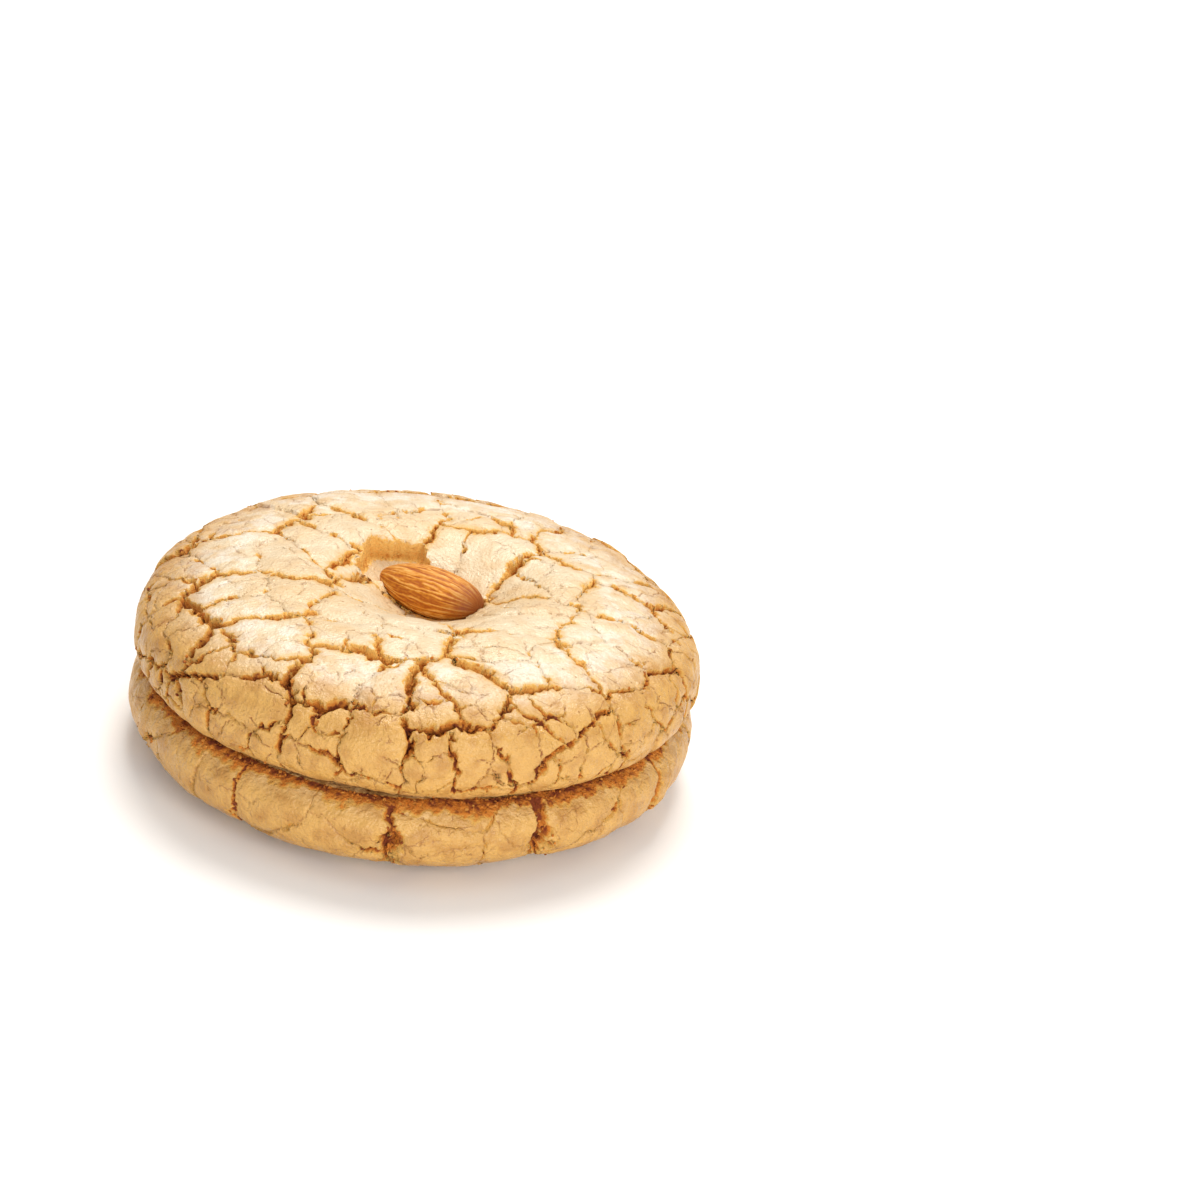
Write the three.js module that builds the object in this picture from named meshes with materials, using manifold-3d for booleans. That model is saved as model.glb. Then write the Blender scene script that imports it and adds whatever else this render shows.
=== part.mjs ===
// Bitter almond biscuit: two crackled macaroon halves stuck together base to base, with one whole
// almond pressed into the dimple on top.
// Millimetres, +Z up. The middle of the base the biscuit stands on is the origin.
// Azimuth is in degrees, from the front (-Y) towards the right (+X).

import * as THREE from "three";
import Module from "manifold-3d";
import { mergeVertices } from "three/addons/utils/BufferGeometryUtils.js";

const wasm = await Module();
wasm.setup();

// Driving dimensions of the two halves. Each is described crust up, standing on its flat base.
const UPPER = {
  radius: 49.3, // widest ring
  bellyHeight: 5.3, // widest ring above the base
  baseRadius: 43.0, // flat face that sticks to the other half
  height: 19.2, // top of the dome above the base
  domePower: 3.4, // 2 is a round dome, more is flatter on top with fuller shoulders
  sway: { share: 0.03, azimuth: 180 }, // the dome's back and front stand a little higher than its sides
  dimple: { x: 1.5, y: 2.2, radius: 24, depth: 8.1, power: 1.1 }, // power sharpens its rim
  lobes: [
    { count: 2, share: 0.008, azimuth: 80 },
    { count: 3, share: 0.006, azimuth: -50 },
    { count: 5, share: 0.004, azimuth: 15 },
  ],
  flatTop: Infinity, // nothing rests on this crust
  seed: 41,
  // Middles of the large fields that show, as azimuth and distance along the skin, from the dimple out
  fields: [
    [66, 18], [111, 22], [147, 18], [-131, 22], [-12, 24],
    [163, 33], [-164, 30], [-97, 31], [-66, 35], [36, 32],
    [-122, 40], [-84, 46], [-62, 48], [-42, 41], [-10, 38], [15, 41], [31, 48],
    [-60, 59], [-36, 53], [-9, 53], [15, 55], [38, 58],
  ],
  // Arcs of fields on the sides that the photograph hides
  arcs: [
    { distance: 37, count: 3, azimuth: 66, step: 29 },
    { distance: 55, count: 8, azimuth: 62, step: 27 },
  ],
  plateArea: 118,
  mainCrack: { width: 1.5, depth: 1.5 },
  sideCrack: { width: 0.8, depth: 0.8 },
};
const LOWER = {
  radius: 50.0,
  bellyHeight: 4.6,
  baseRadius: 44.5,
  height: 15.9,
  domePower: 3.1,
  sway: { share: 0, azimuth: 0 },
  dimple: { x: -1.0, y: -2.0, radius: 22, depth: 4.0, power: 1.2 },
  lobes: [
    { count: 2, share: 0.006, azimuth: 20 },
    { count: 3, share: 0.005, azimuth: 70 },
    { count: 5, share: 0.003, azimuth: -30 },
  ],
  flatTop: 15.4, // the crust settles on this flat spot once the half is turned over
  seed: 7,
  fields: [],
  arcs: [
    { distance: 14, count: 5, azimuth: 0, step: 72 },
    { distance: 34, count: 8, azimuth: 10, step: 45 },
    { distance: 52, count: 11, azimuth: 164, step: 32.7 }, // cracks between these show at the front
  ],
  plateArea: 215,
  mainCrack: { width: 1.9, depth: 1.7 },
  sideCrack: { width: 0.8, depth: 0.7 },
};
const SEAM_GAP = 0.3; // between the two bases
// The hollow left behind the almond where the crust gave way: its centre and half sizes
const HOLLOW = { x: -5.4, y: 10.3, z: 32.4, across: 7.7, deep: 4.1 };
const ALMOND = {
  length: 21.0,
  width: 11.0,
  thickness: 8.5,
  widestAt: 0.46, // share of the length from the blunt end
  bluntPower: 0.36, // lower is rounder
  tipPower: 0.52, // towards 1 is more pointed
  ridges: 13,
  ridgeHeight: 0.14,
  centre: { x: 1.1, y: 3.9, z: 30.5 },
  yaw: -30, // blunt end to the right and a little towards the front
  pitch: 1, // blunt end a little higher
  roll: 1, // its broad face lies almost level
};
const ALMOND_GAP = 0.3; // clear space between the almond and its seat

// How finely the crust is drawn
const CRACK_STEP = 4.0; // longest stretch of a crack line
const RIM_SIDES = 108; // sides of the base's outline
const LARGE_PLATE = 7.0; // plates that reach further from their middle are drawn rounder
const PLATE_RISE = 0.35; // a plate's middle stands this far above its edges
const PLATE_TRIES = 12; // candidates looked at for each plate's place
const ARC_SCATTER = { turn: 0.16, distance: 2.2 }; // share of the step, and millimetres
const WANDER = { reach: 0.9, wavelength: 8.5 }; // how crack lines stray from straight
const OPENING = { mean: 0.85, swing: 0.45, wavelength: 17 }; // how cracks open and close on their way
const CRACK_FADE = 9; // cracks die out over this distance from the edge of the base
const RIM_BORDER = 0.5; // smooth border along the edge of the base
const BRINK_LIMIT = 0.35; // the most of a small plate that its sloping edge may take
const ALMOND_STEPS = { along: 16, around: 39 };
const HOLLOW_STEPS = 24;
const NORMAL_STEP = 0.05;
const PROFILE_STEPS = 240;
const SNAP = 1e-4; // points closer than this are one point

const CRUST = new THREE.MeshStandardMaterial({ color: 0xe3b676, roughness: 0.6, metalness: 0 });
const ALMOND_SKIN = new THREE.MeshStandardMaterial({ color: 0xa9652f, roughness: 0.5, metalness: 0 });

const radians = THREE.MathUtils.degToRad;
const clamp = THREE.MathUtils.clamp;

// A seeded draw from 0 to 1, the same on every run
function makeDraw(seed) {
  let state = seed;
  return () => {
    state = (state + 0x6d2b79f5) | 0;
    let t = Math.imul(state ^ (state >>> 15), 1 | state);
    t = (t + Math.imul(t ^ (t >>> 7), 61 | t)) ^ t;
    return ((t ^ (t >>> 14)) >>> 0) / 4294967296;
  };
}

// A smooth rise and fall over the crust, from -1 to 1, with waves of about the given length
function drift(x, y, wavelength, phase) {
  const k = (2 * Math.PI) / wavelength;
  const first = Math.sin(k * (0.8 * x + 0.6 * y) + phase);
  const second = Math.sin(k * 1.37 * (-0.5 * x + 0.87 * y) + 2.1 * phase + 1.3);
  const third = Math.sin(k * 0.73 * (0.2 * x - 0.98 * y) + 3.7 * phase + 0.4);
  return (first + second + third) / 3;
}

// The half's outline from the top of the dome, round the belly, to the edge of the base,
// as radius and height by the distance along the skin
function skinProfile(half) {
  const points = [];
  const rise = half.height - half.bellyHeight;
  for (let i = 0; i <= PROFILE_STEPS; i++) {
    const turn = ((i / PROFILE_STEPS) * Math.PI) / 2;
    const r = half.radius * Math.sin(turn) ** (2 / half.domePower);
    points.push(new THREE.Vector2(r, half.bellyHeight + rise * Math.cos(turn) ** (2 / half.domePower)));
  }
  const tuck = half.radius - half.baseRadius;
  for (let i = 1; i <= PROFILE_STEPS; i++) {
    const turn = ((i / PROFILE_STEPS) * Math.PI) / 2;
    const z = half.bellyHeight * (1 - Math.sin(turn));
    points.push(new THREE.Vector2(half.baseRadius + tuck * Math.cos(turn), z));
  }
  const reach = [0];
  for (let i = 1; i < points.length; i++) {
    reach.push(reach[i - 1] + points[i].distanceTo(points[i - 1]));
  }
  const length = reach[reach.length - 1];
  function at(distance) {
    const d = clamp(distance, 0, length);
    let low = 0;
    let high = reach.length - 1;
    while (high - low > 1) {
      const middle = (low + high) >> 1;
      if (reach[middle] <= d) low = middle;
      else high = middle;
    }
    const share = (d - reach[low]) / (reach[high] - reach[low]);
    return points[low].clone().lerp(points[high], share);
  }
  return { length, at };
}

// The smooth crust as a function of a flat map: the skin is unrolled so that a point's distance from
// the map's middle is its distance along the skin from the top of the dome
function makeSkin(half) {
  const profile = skinProfile(half);
  function point(u, v) {
    const azimuth = Math.atan2(u, -v);
    const { x: r, y: height } = profile.at(Math.hypot(u, v));
    let out = 1;
    for (const lobe of half.lobes) {
      out += lobe.share * Math.cos(lobe.count * (azimuth - radians(lobe.azimuth)));
    }
    const x = r * out * Math.sin(azimuth);
    const y = -r * out * Math.cos(azimuth);
    const { share, azimuth: high } = half.sway;
    let z = height * (1 + share * (r / half.radius) ** 2 * Math.cos(2 * (azimuth - radians(high))));
    const { dimple } = half;
    const away = Math.hypot(x - dimple.x, y - dimple.y) / dimple.radius;
    if (away < 1) z -= dimple.depth * (0.5 + 0.5 * Math.cos(Math.PI * away)) ** dimple.power;
    return new THREE.Vector3(x, y, z);
  }
  function normal(u, v) {
    const here = point(u, v);
    const along = point(u + NORMAL_STEP, v).sub(here);
    const across = point(u, v + NORMAL_STEP).sub(here);
    return along.cross(across).normalize();
  }
  return { length: profile.length, point, normal };
}

// Cuts a convex outline back to the points nearer to one seed than to another. Each corner carries
// the kind of the side that leaves it.
function keepNearer(outline, seed, other, kind) {
  const nx = other.x - seed.x;
  const ny = other.y - seed.y;
  const limit = (other.x ** 2 + other.y ** 2 - seed.x ** 2 - seed.y ** 2) / 2;
  const kept = [];
  outline.forEach((a, i) => {
    const b = outline[(i + 1) % outline.length];
    const overA = nx * a.x + ny * a.y - limit;
    const overB = nx * b.x + ny * b.y - limit;
    if (overA <= 0) kept.push(a);
    if (overA <= 0 !== overB <= 0) {
      const share = overA / (overA - overB);
      const x = a.x + (b.x - a.x) * share;
      const y = a.y + (b.y - a.y) * share;
      kept.push({ x, y, kind: overA <= 0 ? kind : a.kind });
    }
  });
  return kept;
}

function cellOf(outline, seed, seeds, kind) {
  const others = seeds.filter((other) => other !== seed);
  return others.reduce((cell, other) => keepNearer(cell, seed, other, kind), outline);
}

function areaOf(outline) {
  let twice = 0;
  outline.forEach((a, i) => {
    const b = outline[(i + 1) % outline.length];
    twice += a.x * b.y - b.x * a.y;
  });
  return Math.abs(twice) / 2;
}

function isInside(outline, p) {
  return outline.every((a, i) => {
    const b = outline[(i + 1) % outline.length];
    return (b.x - a.x) * (p.y - a.y) - (b.y - a.y) * (p.x - a.x) >= 0;
  });
}

// Places for the plates of one large field: each is the best of a few draws, far from the others
function scatterIn(field, count, draw) {
  const { min, max } = new THREE.Box2().setFromPoints(field);
  const places = [];
  while (places.length < count) {
    let best = null;
    let bestRoom = -1;
    for (let i = 0; i < PLATE_TRIES; i++) {
      const p = { x: min.x + (max.x - min.x) * draw(), y: min.y + (max.y - min.y) * draw() };
      if (!isInside(field, p)) continue;
      const room = Math.min(...places.map((q) => Math.hypot(p.x - q.x, p.y - q.y)));
      if (room > bestRoom) {
        best = p;
        bestRoom = room;
      }
    }
    if (best) places.push(best);
  }
  return places;
}

// The crust's plates on the flat map: main cracks part large fields, and finer ones split each field
function layPlates(half, length) {
  const draw = makeDraw(half.seed);
  const onMap = (azimuth, distance) => ({
    x: distance * Math.sin(radians(azimuth)),
    y: -distance * Math.cos(radians(azimuth)),
  });
  const fieldSeeds = [half.dimple, ...half.fields.map(([azimuth, distance]) => onMap(azimuth, distance))];
  for (const arc of half.arcs) {
    for (let i = 0; i < arc.count; i++) {
      const azimuth = arc.azimuth + arc.step * (i + ARC_SCATTER.turn * (2 * draw() - 1));
      fieldSeeds.push(onMap(azimuth, arc.distance + ARC_SCATTER.distance * (2 * draw() - 1)));
    }
  }
  const rim = [];
  for (let i = 0; i < RIM_SIDES; i++) {
    const turn = (2 * Math.PI * i) / RIM_SIDES;
    rim.push({ x: length * Math.cos(turn), y: length * Math.sin(turn), kind: "rim" });
  }
  const plates = [];
  for (const seed of fieldSeeds) {
    const field = cellOf(rim, seed, fieldSeeds, "main");
    const count = Math.max(1, Math.round(areaOf(field) / half.plateArea));
    const places = scatterIn(field, count, draw);
    plates.push(...places.map((place) => cellOf(field, place, places, "side")));
  }
  return plates;
}

// Corners of neighbouring plates that lie along a plate's side become corners of that plate too, and
// long sides are cut into short stretches, so that plates share every point of the cracks between them
function shareCorners(plates) {
  const corners = plates.flat();
  return plates.map((plate) => {
    const outline = [];
    plate.forEach((a, i) => {
      const b = plate[(i + 1) % plate.length];
      const side = new THREE.Vector2(b.x - a.x, b.y - a.y);
      const long = side.length();
      if (long < SNAP) return;
      side.divideScalar(long);
      const stops = [0, long];
      for (const c of corners) {
        const along = (c.x - a.x) * side.x + (c.y - a.y) * side.y;
        const off = (c.y - a.y) * side.x - (c.x - a.x) * side.y;
        if (along > SNAP && along < long - SNAP && Math.abs(off) < SNAP) stops.push(along);
      }
      stops.sort((p, q) => p - q);
      for (let k = 1; k < stops.length; k++) {
        const stretch = stops[k] - stops[k - 1];
        if (stretch < SNAP) continue;
        const pieces = Math.ceil(stretch / CRACK_STEP);
        for (let n = 0; n < pieces; n++) {
          const along = stops[k - 1] + (stretch * n) / pieces;
          outline.push({ x: a.x + side.x * along, y: a.y + side.y * along, kind: a.kind });
        }
      }
    });
    return outline;
  });
}

const keyOf = (p) => `${Math.round(p.x * 1000)},${Math.round(p.y * 1000)}`;

// The kind of crack at each shared point: the rim has none, and a main crack outranks a side crack
function rankPoints(plates) {
  const ranks = new Map();
  const order = { side: 0, main: 1, rim: 2 };
  for (const plate of plates) {
    plate.forEach((p, i) => {
      const before = plate[(i + plate.length - 1) % plate.length];
      for (const kind of [p.kind, before.kind]) {
        const held = ranks.get(keyOf(p));
        if (held === undefined || order[kind] > order[held]) ranks.set(keyOf(p), kind);
      }
    });
  }
  return ranks;
}

// One half of the biscuit, crust up on its flat base: each plate is a low crown whose edge drops into
// the cracks round it
function crackledHalf(half) {
  const skin = makeSkin(half);
  const plates = shareCorners(layPlates(half, skin.length));
  const ranks = rankPoints(plates);
  const positions = [];
  const faces = [];
  const rimPoints = new Map();

  function addPoint(u, v, lift) {
    const p = skin.point(u, v).addScaledVector(skin.normal(u, v), lift);
    positions.push(p.x, p.y, Math.min(p.z, half.flatTop));
    return positions.length / 3 - 1;
  }
  // Cracks wander, open and close along their way, and die out where the crust turns under
  function crackAt(p) {
    const kind = ranks.get(keyOf(p));
    if (kind === "rim") return { width: 2 * RIM_BORDER, depth: 0, wander: 0 };
    const crack = kind === "main" ? half.mainCrack : half.sideCrack;
    const open = OPENING.mean + OPENING.swing * drift(p.x, p.y, OPENING.wavelength, half.seed);
    const fade = clamp((skin.length - Math.hypot(p.x, p.y)) / CRACK_FADE, 0, 1);
    return { width: crack.width * open, depth: crack.depth * open * fade, wander: WANDER.reach * fade };
  }
  const shared = new Map();
  function crackPoint(p) {
    const key = keyOf(p);
    if (!shared.has(key)) {
      const crack = crackAt(p);
      const u = p.x + crack.wander * drift(p.x, p.y, WANDER.wavelength, 1);
      const v = p.y + crack.wander * drift(p.x, p.y, WANDER.wavelength, 2);
      const index = addPoint(u, v, -crack.depth);
      shared.set(key, { u, v, width: crack.width, index });
      if (ranks.get(key) === "rim") rimPoints.set(index, Math.atan2(p.y, p.x));
    }
    return shared.get(key);
  }
  function joinRings(outer, inner) {
    outer.forEach((a, i) => {
      const next = (i + 1) % outer.length;
      faces.push(a, outer[next], inner[next], a, inner[next], inner[i]);
    });
  }
  for (const plate of plates) {
    const edge = plate.map(crackPoint);
    const middle = { u: 0, v: 0 };
    for (const p of edge) {
      middle.u += p.u / edge.length;
      middle.v += p.v / edge.length;
    }
    const towardsMiddle = (p, share, lift) =>
      addPoint(p.u + (middle.u - p.u) * share, p.v + (middle.v - p.v) * share, lift);
    const reaches = edge.map((p) => Math.hypot(p.u - middle.u, p.v - middle.v));
    const valley = edge.map((p) => p.index);
    const brink = edge.map((p, i) => {
      return towardsMiddle(p, Math.min(p.width / 2 / reaches[i], BRINK_LIMIT), 0);
    });
    joinRings(valley, brink);
    let crown = brink;
    if (reaches.reduce((sum, reach) => sum + reach) / edge.length > LARGE_PLATE) {
      crown = edge.map((p) => towardsMiddle(p, 0.5, 0.8 * PLATE_RISE));
      joinRings(brink, crown);
    }
    const top = addPoint(middle.u, middle.v, PLATE_RISE);
    crown.forEach((a, i) => faces.push(a, crown[(i + 1) % crown.length], top));
  }
  // The flat base closes the half
  const rim = [...rimPoints.entries()].sort((a, b) => a[1] - b[1]).map(([index]) => index);
  positions.push(0, 0, 0);
  const baseMiddle = positions.length / 3 - 1;
  rim.forEach((a, i) => faces.push(rim[(i + 1) % rim.length], a, baseMiddle));

  const geometry = new THREE.BufferGeometry();
  geometry.setAttribute("position", new THREE.Float32BufferAttribute(positions, 3));
  geometry.setIndex(faces);
  return geometry;
}

// An almond lying along X with its blunt end at +X, its skin ridged from end to end. A positive grow
// gives the larger form that presses its seat.
function almondGeometry(grow) {
  const bulge = Math.log(0.5) / Math.log(ALMOND.widestAt);
  const outline = [new THREE.Vector2(0, -0.5)];
  for (let i = 1; i < ALMOND_STEPS.along; i++) {
    const along = (1 - Math.cos((Math.PI * i) / ALMOND_STEPS.along)) / 2; // from the blunt end
    const power = THREE.MathUtils.lerp(ALMOND.bluntPower, ALMOND.tipPower, along);
    outline.push(new THREE.Vector2(Math.sin(Math.PI * along ** bulge) ** power, along - 0.5));
  }
  outline.push(new THREE.Vector2(0, 0.5));
  const geometry = new THREE.LatheGeometry(outline, ALMOND_STEPS.around);
  const position = geometry.getAttribute("position");
  for (let i = 0; i < position.count; i++) {
    const p = new THREE.Vector3().fromBufferAttribute(position, i);
    const around = Math.atan2(p.z, p.x);
    const girth = Math.hypot(p.x, p.z);
    const ridge = grow > 0 ? 0 : ALMOND.ridgeHeight * (Math.cos(ALMOND.ridges * around) - 1) * girth;
    position.setXYZ(
      i,
      -p.y * (ALMOND.length + 2 * grow),
      Math.cos(around) * girth * (ALMOND.width / 2 + grow + ridge),
      Math.sin(around) * girth * (ALMOND.thickness / 2 + grow + ridge),
    );
  }
  return weld(geometry);
}

// A closed mesh of bare positions, with the points that faces share merged
function weld(geometry) {
  geometry.deleteAttribute("normal");
  geometry.deleteAttribute("uv");
  return mergeVertices(geometry);
}

function hollowGeometry() {
  const geometry = new THREE.SphereGeometry(1, HOLLOW_STEPS, HOLLOW_STEPS / 2);
  geometry.rotateX(Math.PI / 2).scale(HOLLOW.across, HOLLOW.across, HOLLOW.deep);
  return weld(geometry.translate(HOLLOW.x, HOLLOW.y, HOLLOW.z));
}

function layAlmond(object) {
  object.rotation.set(radians(ALMOND.roll), radians(-ALMOND.pitch), radians(ALMOND.yaw), "ZYX");
  object.position.set(ALMOND.centre.x, ALMOND.centre.y, ALMOND.centre.z);
  object.updateMatrixWorld(true);
  return object;
}

function solidOf(geometry) {
  return new wasm.Manifold(
    new wasm.Mesh({
      numProp: 3,
      vertProperties: new Float32Array(geometry.getAttribute("position").array),
      triVerts: new Uint32Array(geometry.index.array),
    }),
  );
}

function geometryOf(solid) {
  const { vertProperties, triVerts } = solid.getMesh();
  const geometry = new THREE.BufferGeometry();
  geometry.setAttribute("position", new THREE.BufferAttribute(vertProperties, 3));
  geometry.setIndex(new THREE.BufferAttribute(triVerts, 1));
  return geometry;
}

// The lower half lies on its crust, so its base is up; the upper half stands on it
function lowerBiscuit() {
  const mesh = new THREE.Mesh(crackledHalf(LOWER), CRUST);
  mesh.name = "lower_biscuit";
  mesh.rotation.x = Math.PI;
  mesh.position.z = LOWER.flatTop;
  return mesh;
}

function upperBiscuit() {
  const base = LOWER.flatTop + SEAM_GAP;
  const seat = layAlmond(new THREE.Mesh(almondGeometry(ALMOND_GAP)));
  seat.geometry.applyMatrix4(seat.matrixWorld);
  let solid = solidOf(crackledHalf(UPPER));
  for (const tool of [hollowGeometry(), seat.geometry]) {
    solid = solid.subtract(solidOf(tool.translate(0, 0, -base)));
  }
  const mesh = new THREE.Mesh(geometryOf(solid), CRUST);
  mesh.name = "upper_biscuit";
  mesh.position.z = base;
  return mesh;
}

function almond() {
  const mesh = layAlmond(new THREE.Mesh(almondGeometry(0), ALMOND_SKIN));
  mesh.name = "almond";
  return mesh;
}

const biscuit = new THREE.Group();
biscuit.add(lowerBiscuit(), upperBiscuit(), almond());

// The uneven rims put the middle of the box a little off the halves' own axis
const box = new THREE.Box3().setFromObject(biscuit, true);
const middle = box.getCenter(new THREE.Vector3());
biscuit.position.set(-middle.x, -middle.y, -box.min.z);

export default biscuit;
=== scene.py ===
# %% [markdown]
# # A bitter almond cookie
# The cookie is two macaroon halves, piped from ground almond, sugar and egg white and baked until their
# skins cracked. They are stuck together base to base, and a whole almond is pressed into the upper one.
# Plain solids of the three pieces exist already, at their real size. This lesson lays a fine crust and a
# ridged almond skin in their place, by the same rules of shape, so nothing has to be fitted afterwards.

# %% Load the solids
import math
from functools import partial
from types import SimpleNamespace as Bundle

import bpy
import numpy as np
from mathutils import Euler, Matrix, Vector
from mathutils.bvhtree import BVHTree
from mathutils.geometry import delaunay_2d_cdt
from mathutils.kdtree import KDTree


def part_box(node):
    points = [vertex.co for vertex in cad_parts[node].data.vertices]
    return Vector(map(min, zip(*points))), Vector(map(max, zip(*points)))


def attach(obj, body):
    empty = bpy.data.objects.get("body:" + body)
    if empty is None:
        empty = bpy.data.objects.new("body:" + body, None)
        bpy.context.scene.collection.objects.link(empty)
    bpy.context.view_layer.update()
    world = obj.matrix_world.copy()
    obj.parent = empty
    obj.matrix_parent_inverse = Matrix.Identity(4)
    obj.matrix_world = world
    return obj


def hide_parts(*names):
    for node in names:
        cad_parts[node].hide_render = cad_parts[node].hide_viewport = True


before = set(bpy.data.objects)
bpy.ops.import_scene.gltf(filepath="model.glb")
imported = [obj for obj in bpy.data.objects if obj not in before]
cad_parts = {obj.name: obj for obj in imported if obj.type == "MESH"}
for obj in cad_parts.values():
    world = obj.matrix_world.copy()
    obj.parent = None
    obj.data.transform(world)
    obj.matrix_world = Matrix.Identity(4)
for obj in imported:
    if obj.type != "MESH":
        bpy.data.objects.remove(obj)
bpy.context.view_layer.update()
scene = bpy.context.scene
MM = 0.001  # Blender counts in metres

# %% [markdown]
# ## Camera
# The picture looks down on the cookie by about 26 degrees from 0.72 m, and its horizon is turned a little,
# because the cookie in the photograph lies at a slant. A camera could be aimed at the cookie and its lens
# shifted to frame it, but a shift stays when the camera moves. So the camera is aimed at the picture's
# middle, and the cookie keeps its place to the left of it.

# %% Camera
IMAGE_PX = 1200  # the picture is square
COOKIE_PX = (414.7, 667.4)  # the cookie's middle in the picture
COOKIE_MIDDLE = Vector((0, 0, 17.3 * MM))
DISTANCE = 720 * MM
SIZE_OF_PX = 0.1776 * MM  # what one pixel spans at the cookie's middle
ELEVATION = math.radians(25.7)
ROLL = math.radians(7.4)

focal_px = DISTANCE / SIZE_OF_PX
forward = Vector((0, math.cos(ELEVATION), -math.sin(ELEVATION)))
level = Vector((1, 0, 0))
upright = level.cross(forward)
right = math.cos(ROLL) * level + math.sin(ROLL) * upright
up = math.cos(ROLL) * upright - math.sin(ROLL) * level
across = (COOKIE_PX[0] - IMAGE_PX / 2) / focal_px
down = (COOKIE_PX[1] - IMAGE_PX / 2) / focal_px
eye = COOKIE_MIDDLE - DISTANCE * (forward + across * right - down * up)

camera_data = bpy.data.cameras.new("camera")
camera_data.angle = 2 * math.atan(IMAGE_PX / 2 / focal_px)
camera_data.clip_start = 0.01
camera = bpy.data.objects.new("camera", camera_data)
scene.collection.objects.link(camera)
camera.matrix_world = Matrix.Translation(eye) @ Matrix((right, up, -forward)).transposed().to_4x4()
scene.camera = camera
print("camera at", [round(c, 3) for c in eye], "angle", round(math.degrees(camera_data.angle), 2))

# %% [markdown]
# ## Two helpers
# Finishes, and shapes that follow a rule, are trees of nodes. One small function adds a node, sets its
# properties and fills its sockets, by name or in order, with a number, a link, or a node whose first output
# is meant. Kinds of node and settings that come up often get short names.
# Colours are written as sRGB hex values, as a colour picker shows them. Shaders count in linear light, so
# one function turns them.

# %% Node and colour helpers
MATH, VECTOR_MATH = "ShaderNodeMath", "ShaderNodeVectorMath"
MAP, MIX = "ShaderNodeMapRange", "ShaderNodeMix"
NOISE, VORONOI, ATTRIBUTE = "ShaderNodeTexNoise", "ShaderNodeTexVoronoi", "ShaderNodeAttribute"
SMOOTH = {"interpolation_type": "SMOOTHSTEP"}  # for a Map Range node
COLOUR = {"data_type": "RGBA"}  # for a Mix node: socket 0 is its factor, 6 and 7 are its two colours


def add(tree, kind, sockets=(), **settings):
    node = tree.nodes.new(kind)
    for name, value in settings.items():
        setattr(node, name, value)
    for key, value in sockets.items() if isinstance(sockets, dict) else enumerate(sockets):
        if isinstance(value, bpy.types.Node):
            value = next(socket for socket in value.outputs if socket.enabled)
        if isinstance(value, bpy.types.NodeSocket):
            tree.links.new(value, node.inputs[key])
        else:
            node.inputs[key].default_value = value
    return node


def linear(hex_colour):
    channels = [int(hex_colour[i : i + 2], 16) / 255 for i in (1, 3, 5)]
    return [c / 12.92 if c <= 0.04045 else ((c + 0.055) / 1.055) ** 2.4 for c in channels] + [1.0]


print("middle grey in linear light:", round(linear("#808080")[0], 3))

# %% [markdown]
# ## Floor
# The cookie lies on a white sweep that has no edge to see. A curved backdrop would do, but from a camera
# that looks down, one large square of matt white paint gives the same picture. It is stage, not part of the
# cookie.

# %% Floor
FLOOR_HALF = 3.0  # metres, so that its edges stay out of view
floor_mesh = bpy.data.meshes.new("floor")
floor_corners = [(x * FLOOR_HALF, y * FLOOR_HALF, 0) for x, y in ((-1, -1), (1, -1), (1, 1), (-1, 1))]
floor_mesh.from_pydata(floor_corners, [], [(0, 1, 2, 3)])
floor = bpy.data.objects.new("floor", floor_mesh)
scene.collection.objects.link(floor)
FLOOR_ROUGHNESS, FLOOR_SPECULAR = 0.9, 0.1  # matt paint shows a shadow and hardly any reflection
floor_paint = bpy.data.materials.new("matt_white_paint")
floor_paint.use_nodes = True
floor_shader = floor_paint.node_tree.nodes["Principled BSDF"]
floor_shader.inputs["Base Color"].default_value = linear("#fcfcfb")
floor_shader.inputs["Roughness"].default_value = FLOOR_ROUGHNESS
floor_shader.inputs["Specular IOR Level"].default_value = FLOOR_SPECULAR
floor_mesh.materials.append(floor_paint)
print("floor of", floor_paint.name, 2 * FLOOR_HALF, "m wide")

# %% [markdown]
# ## Light
# A small hard lamp would draw every crack as a black line. The photograph's light is broad: one lamp above
# and behind gives the plates their satin glow and throws a short soft shadow to the front, another in front
# fills the sides, and a white world lifts the rest.

# %% Lamps and world
ROOM_LIGHT = 0.56  # strength of the white world


def soft_light(name, place, size, power, colour):
    data = bpy.data.lights.new(name, "AREA")
    data.shape = "DISK"
    data.size = size
    data.energy = power
    data.color = linear(colour)[:3]
    light = bpy.data.objects.new(name, data)
    scene.collection.objects.link(light)
    light.location = place
    light.rotation_mode = "QUATERNION"
    light.rotation_quaternion = (COOKIE_MIDDLE - light.location).to_track_quat("-Z", "Y")
    print(name, "lamp:", size, "m wide,", power, "W")


soft_light("key", place=Vector((0.02, 0.5, 1.02)), size=0.6, power=10.2, colour="#fffaf4")
soft_light("front_fill", place=Vector((0.42, -0.96, 0.42)), size=0.8, power=8.3, colour="#ffffff")
world = bpy.data.worlds.new("white_room")
world.use_nodes = True
world.node_tree.nodes["Background"].inputs["Color"].default_value = linear("#ffffff")
world.node_tree.nodes["Background"].inputs["Strength"].default_value = ROOM_LIGHT
scene.world = world
scene.view_settings.view_transform = "Standard"  # colours come out as they were picked

# %% [markdown]
# ## The shape of a half
# A macaroon half is a flattened dome over a flat base. It could be sculpted, but a rule can be shared with
# the solids: an outline from the top of the dome, round the belly, to the edge of the base, and a dimple,
# some lobes and a sway that make it as uneven as a piped thing is. Sizes are in millimetres and azimuths in
# degrees, from the front towards the right, of a half that stands on its base.

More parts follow.
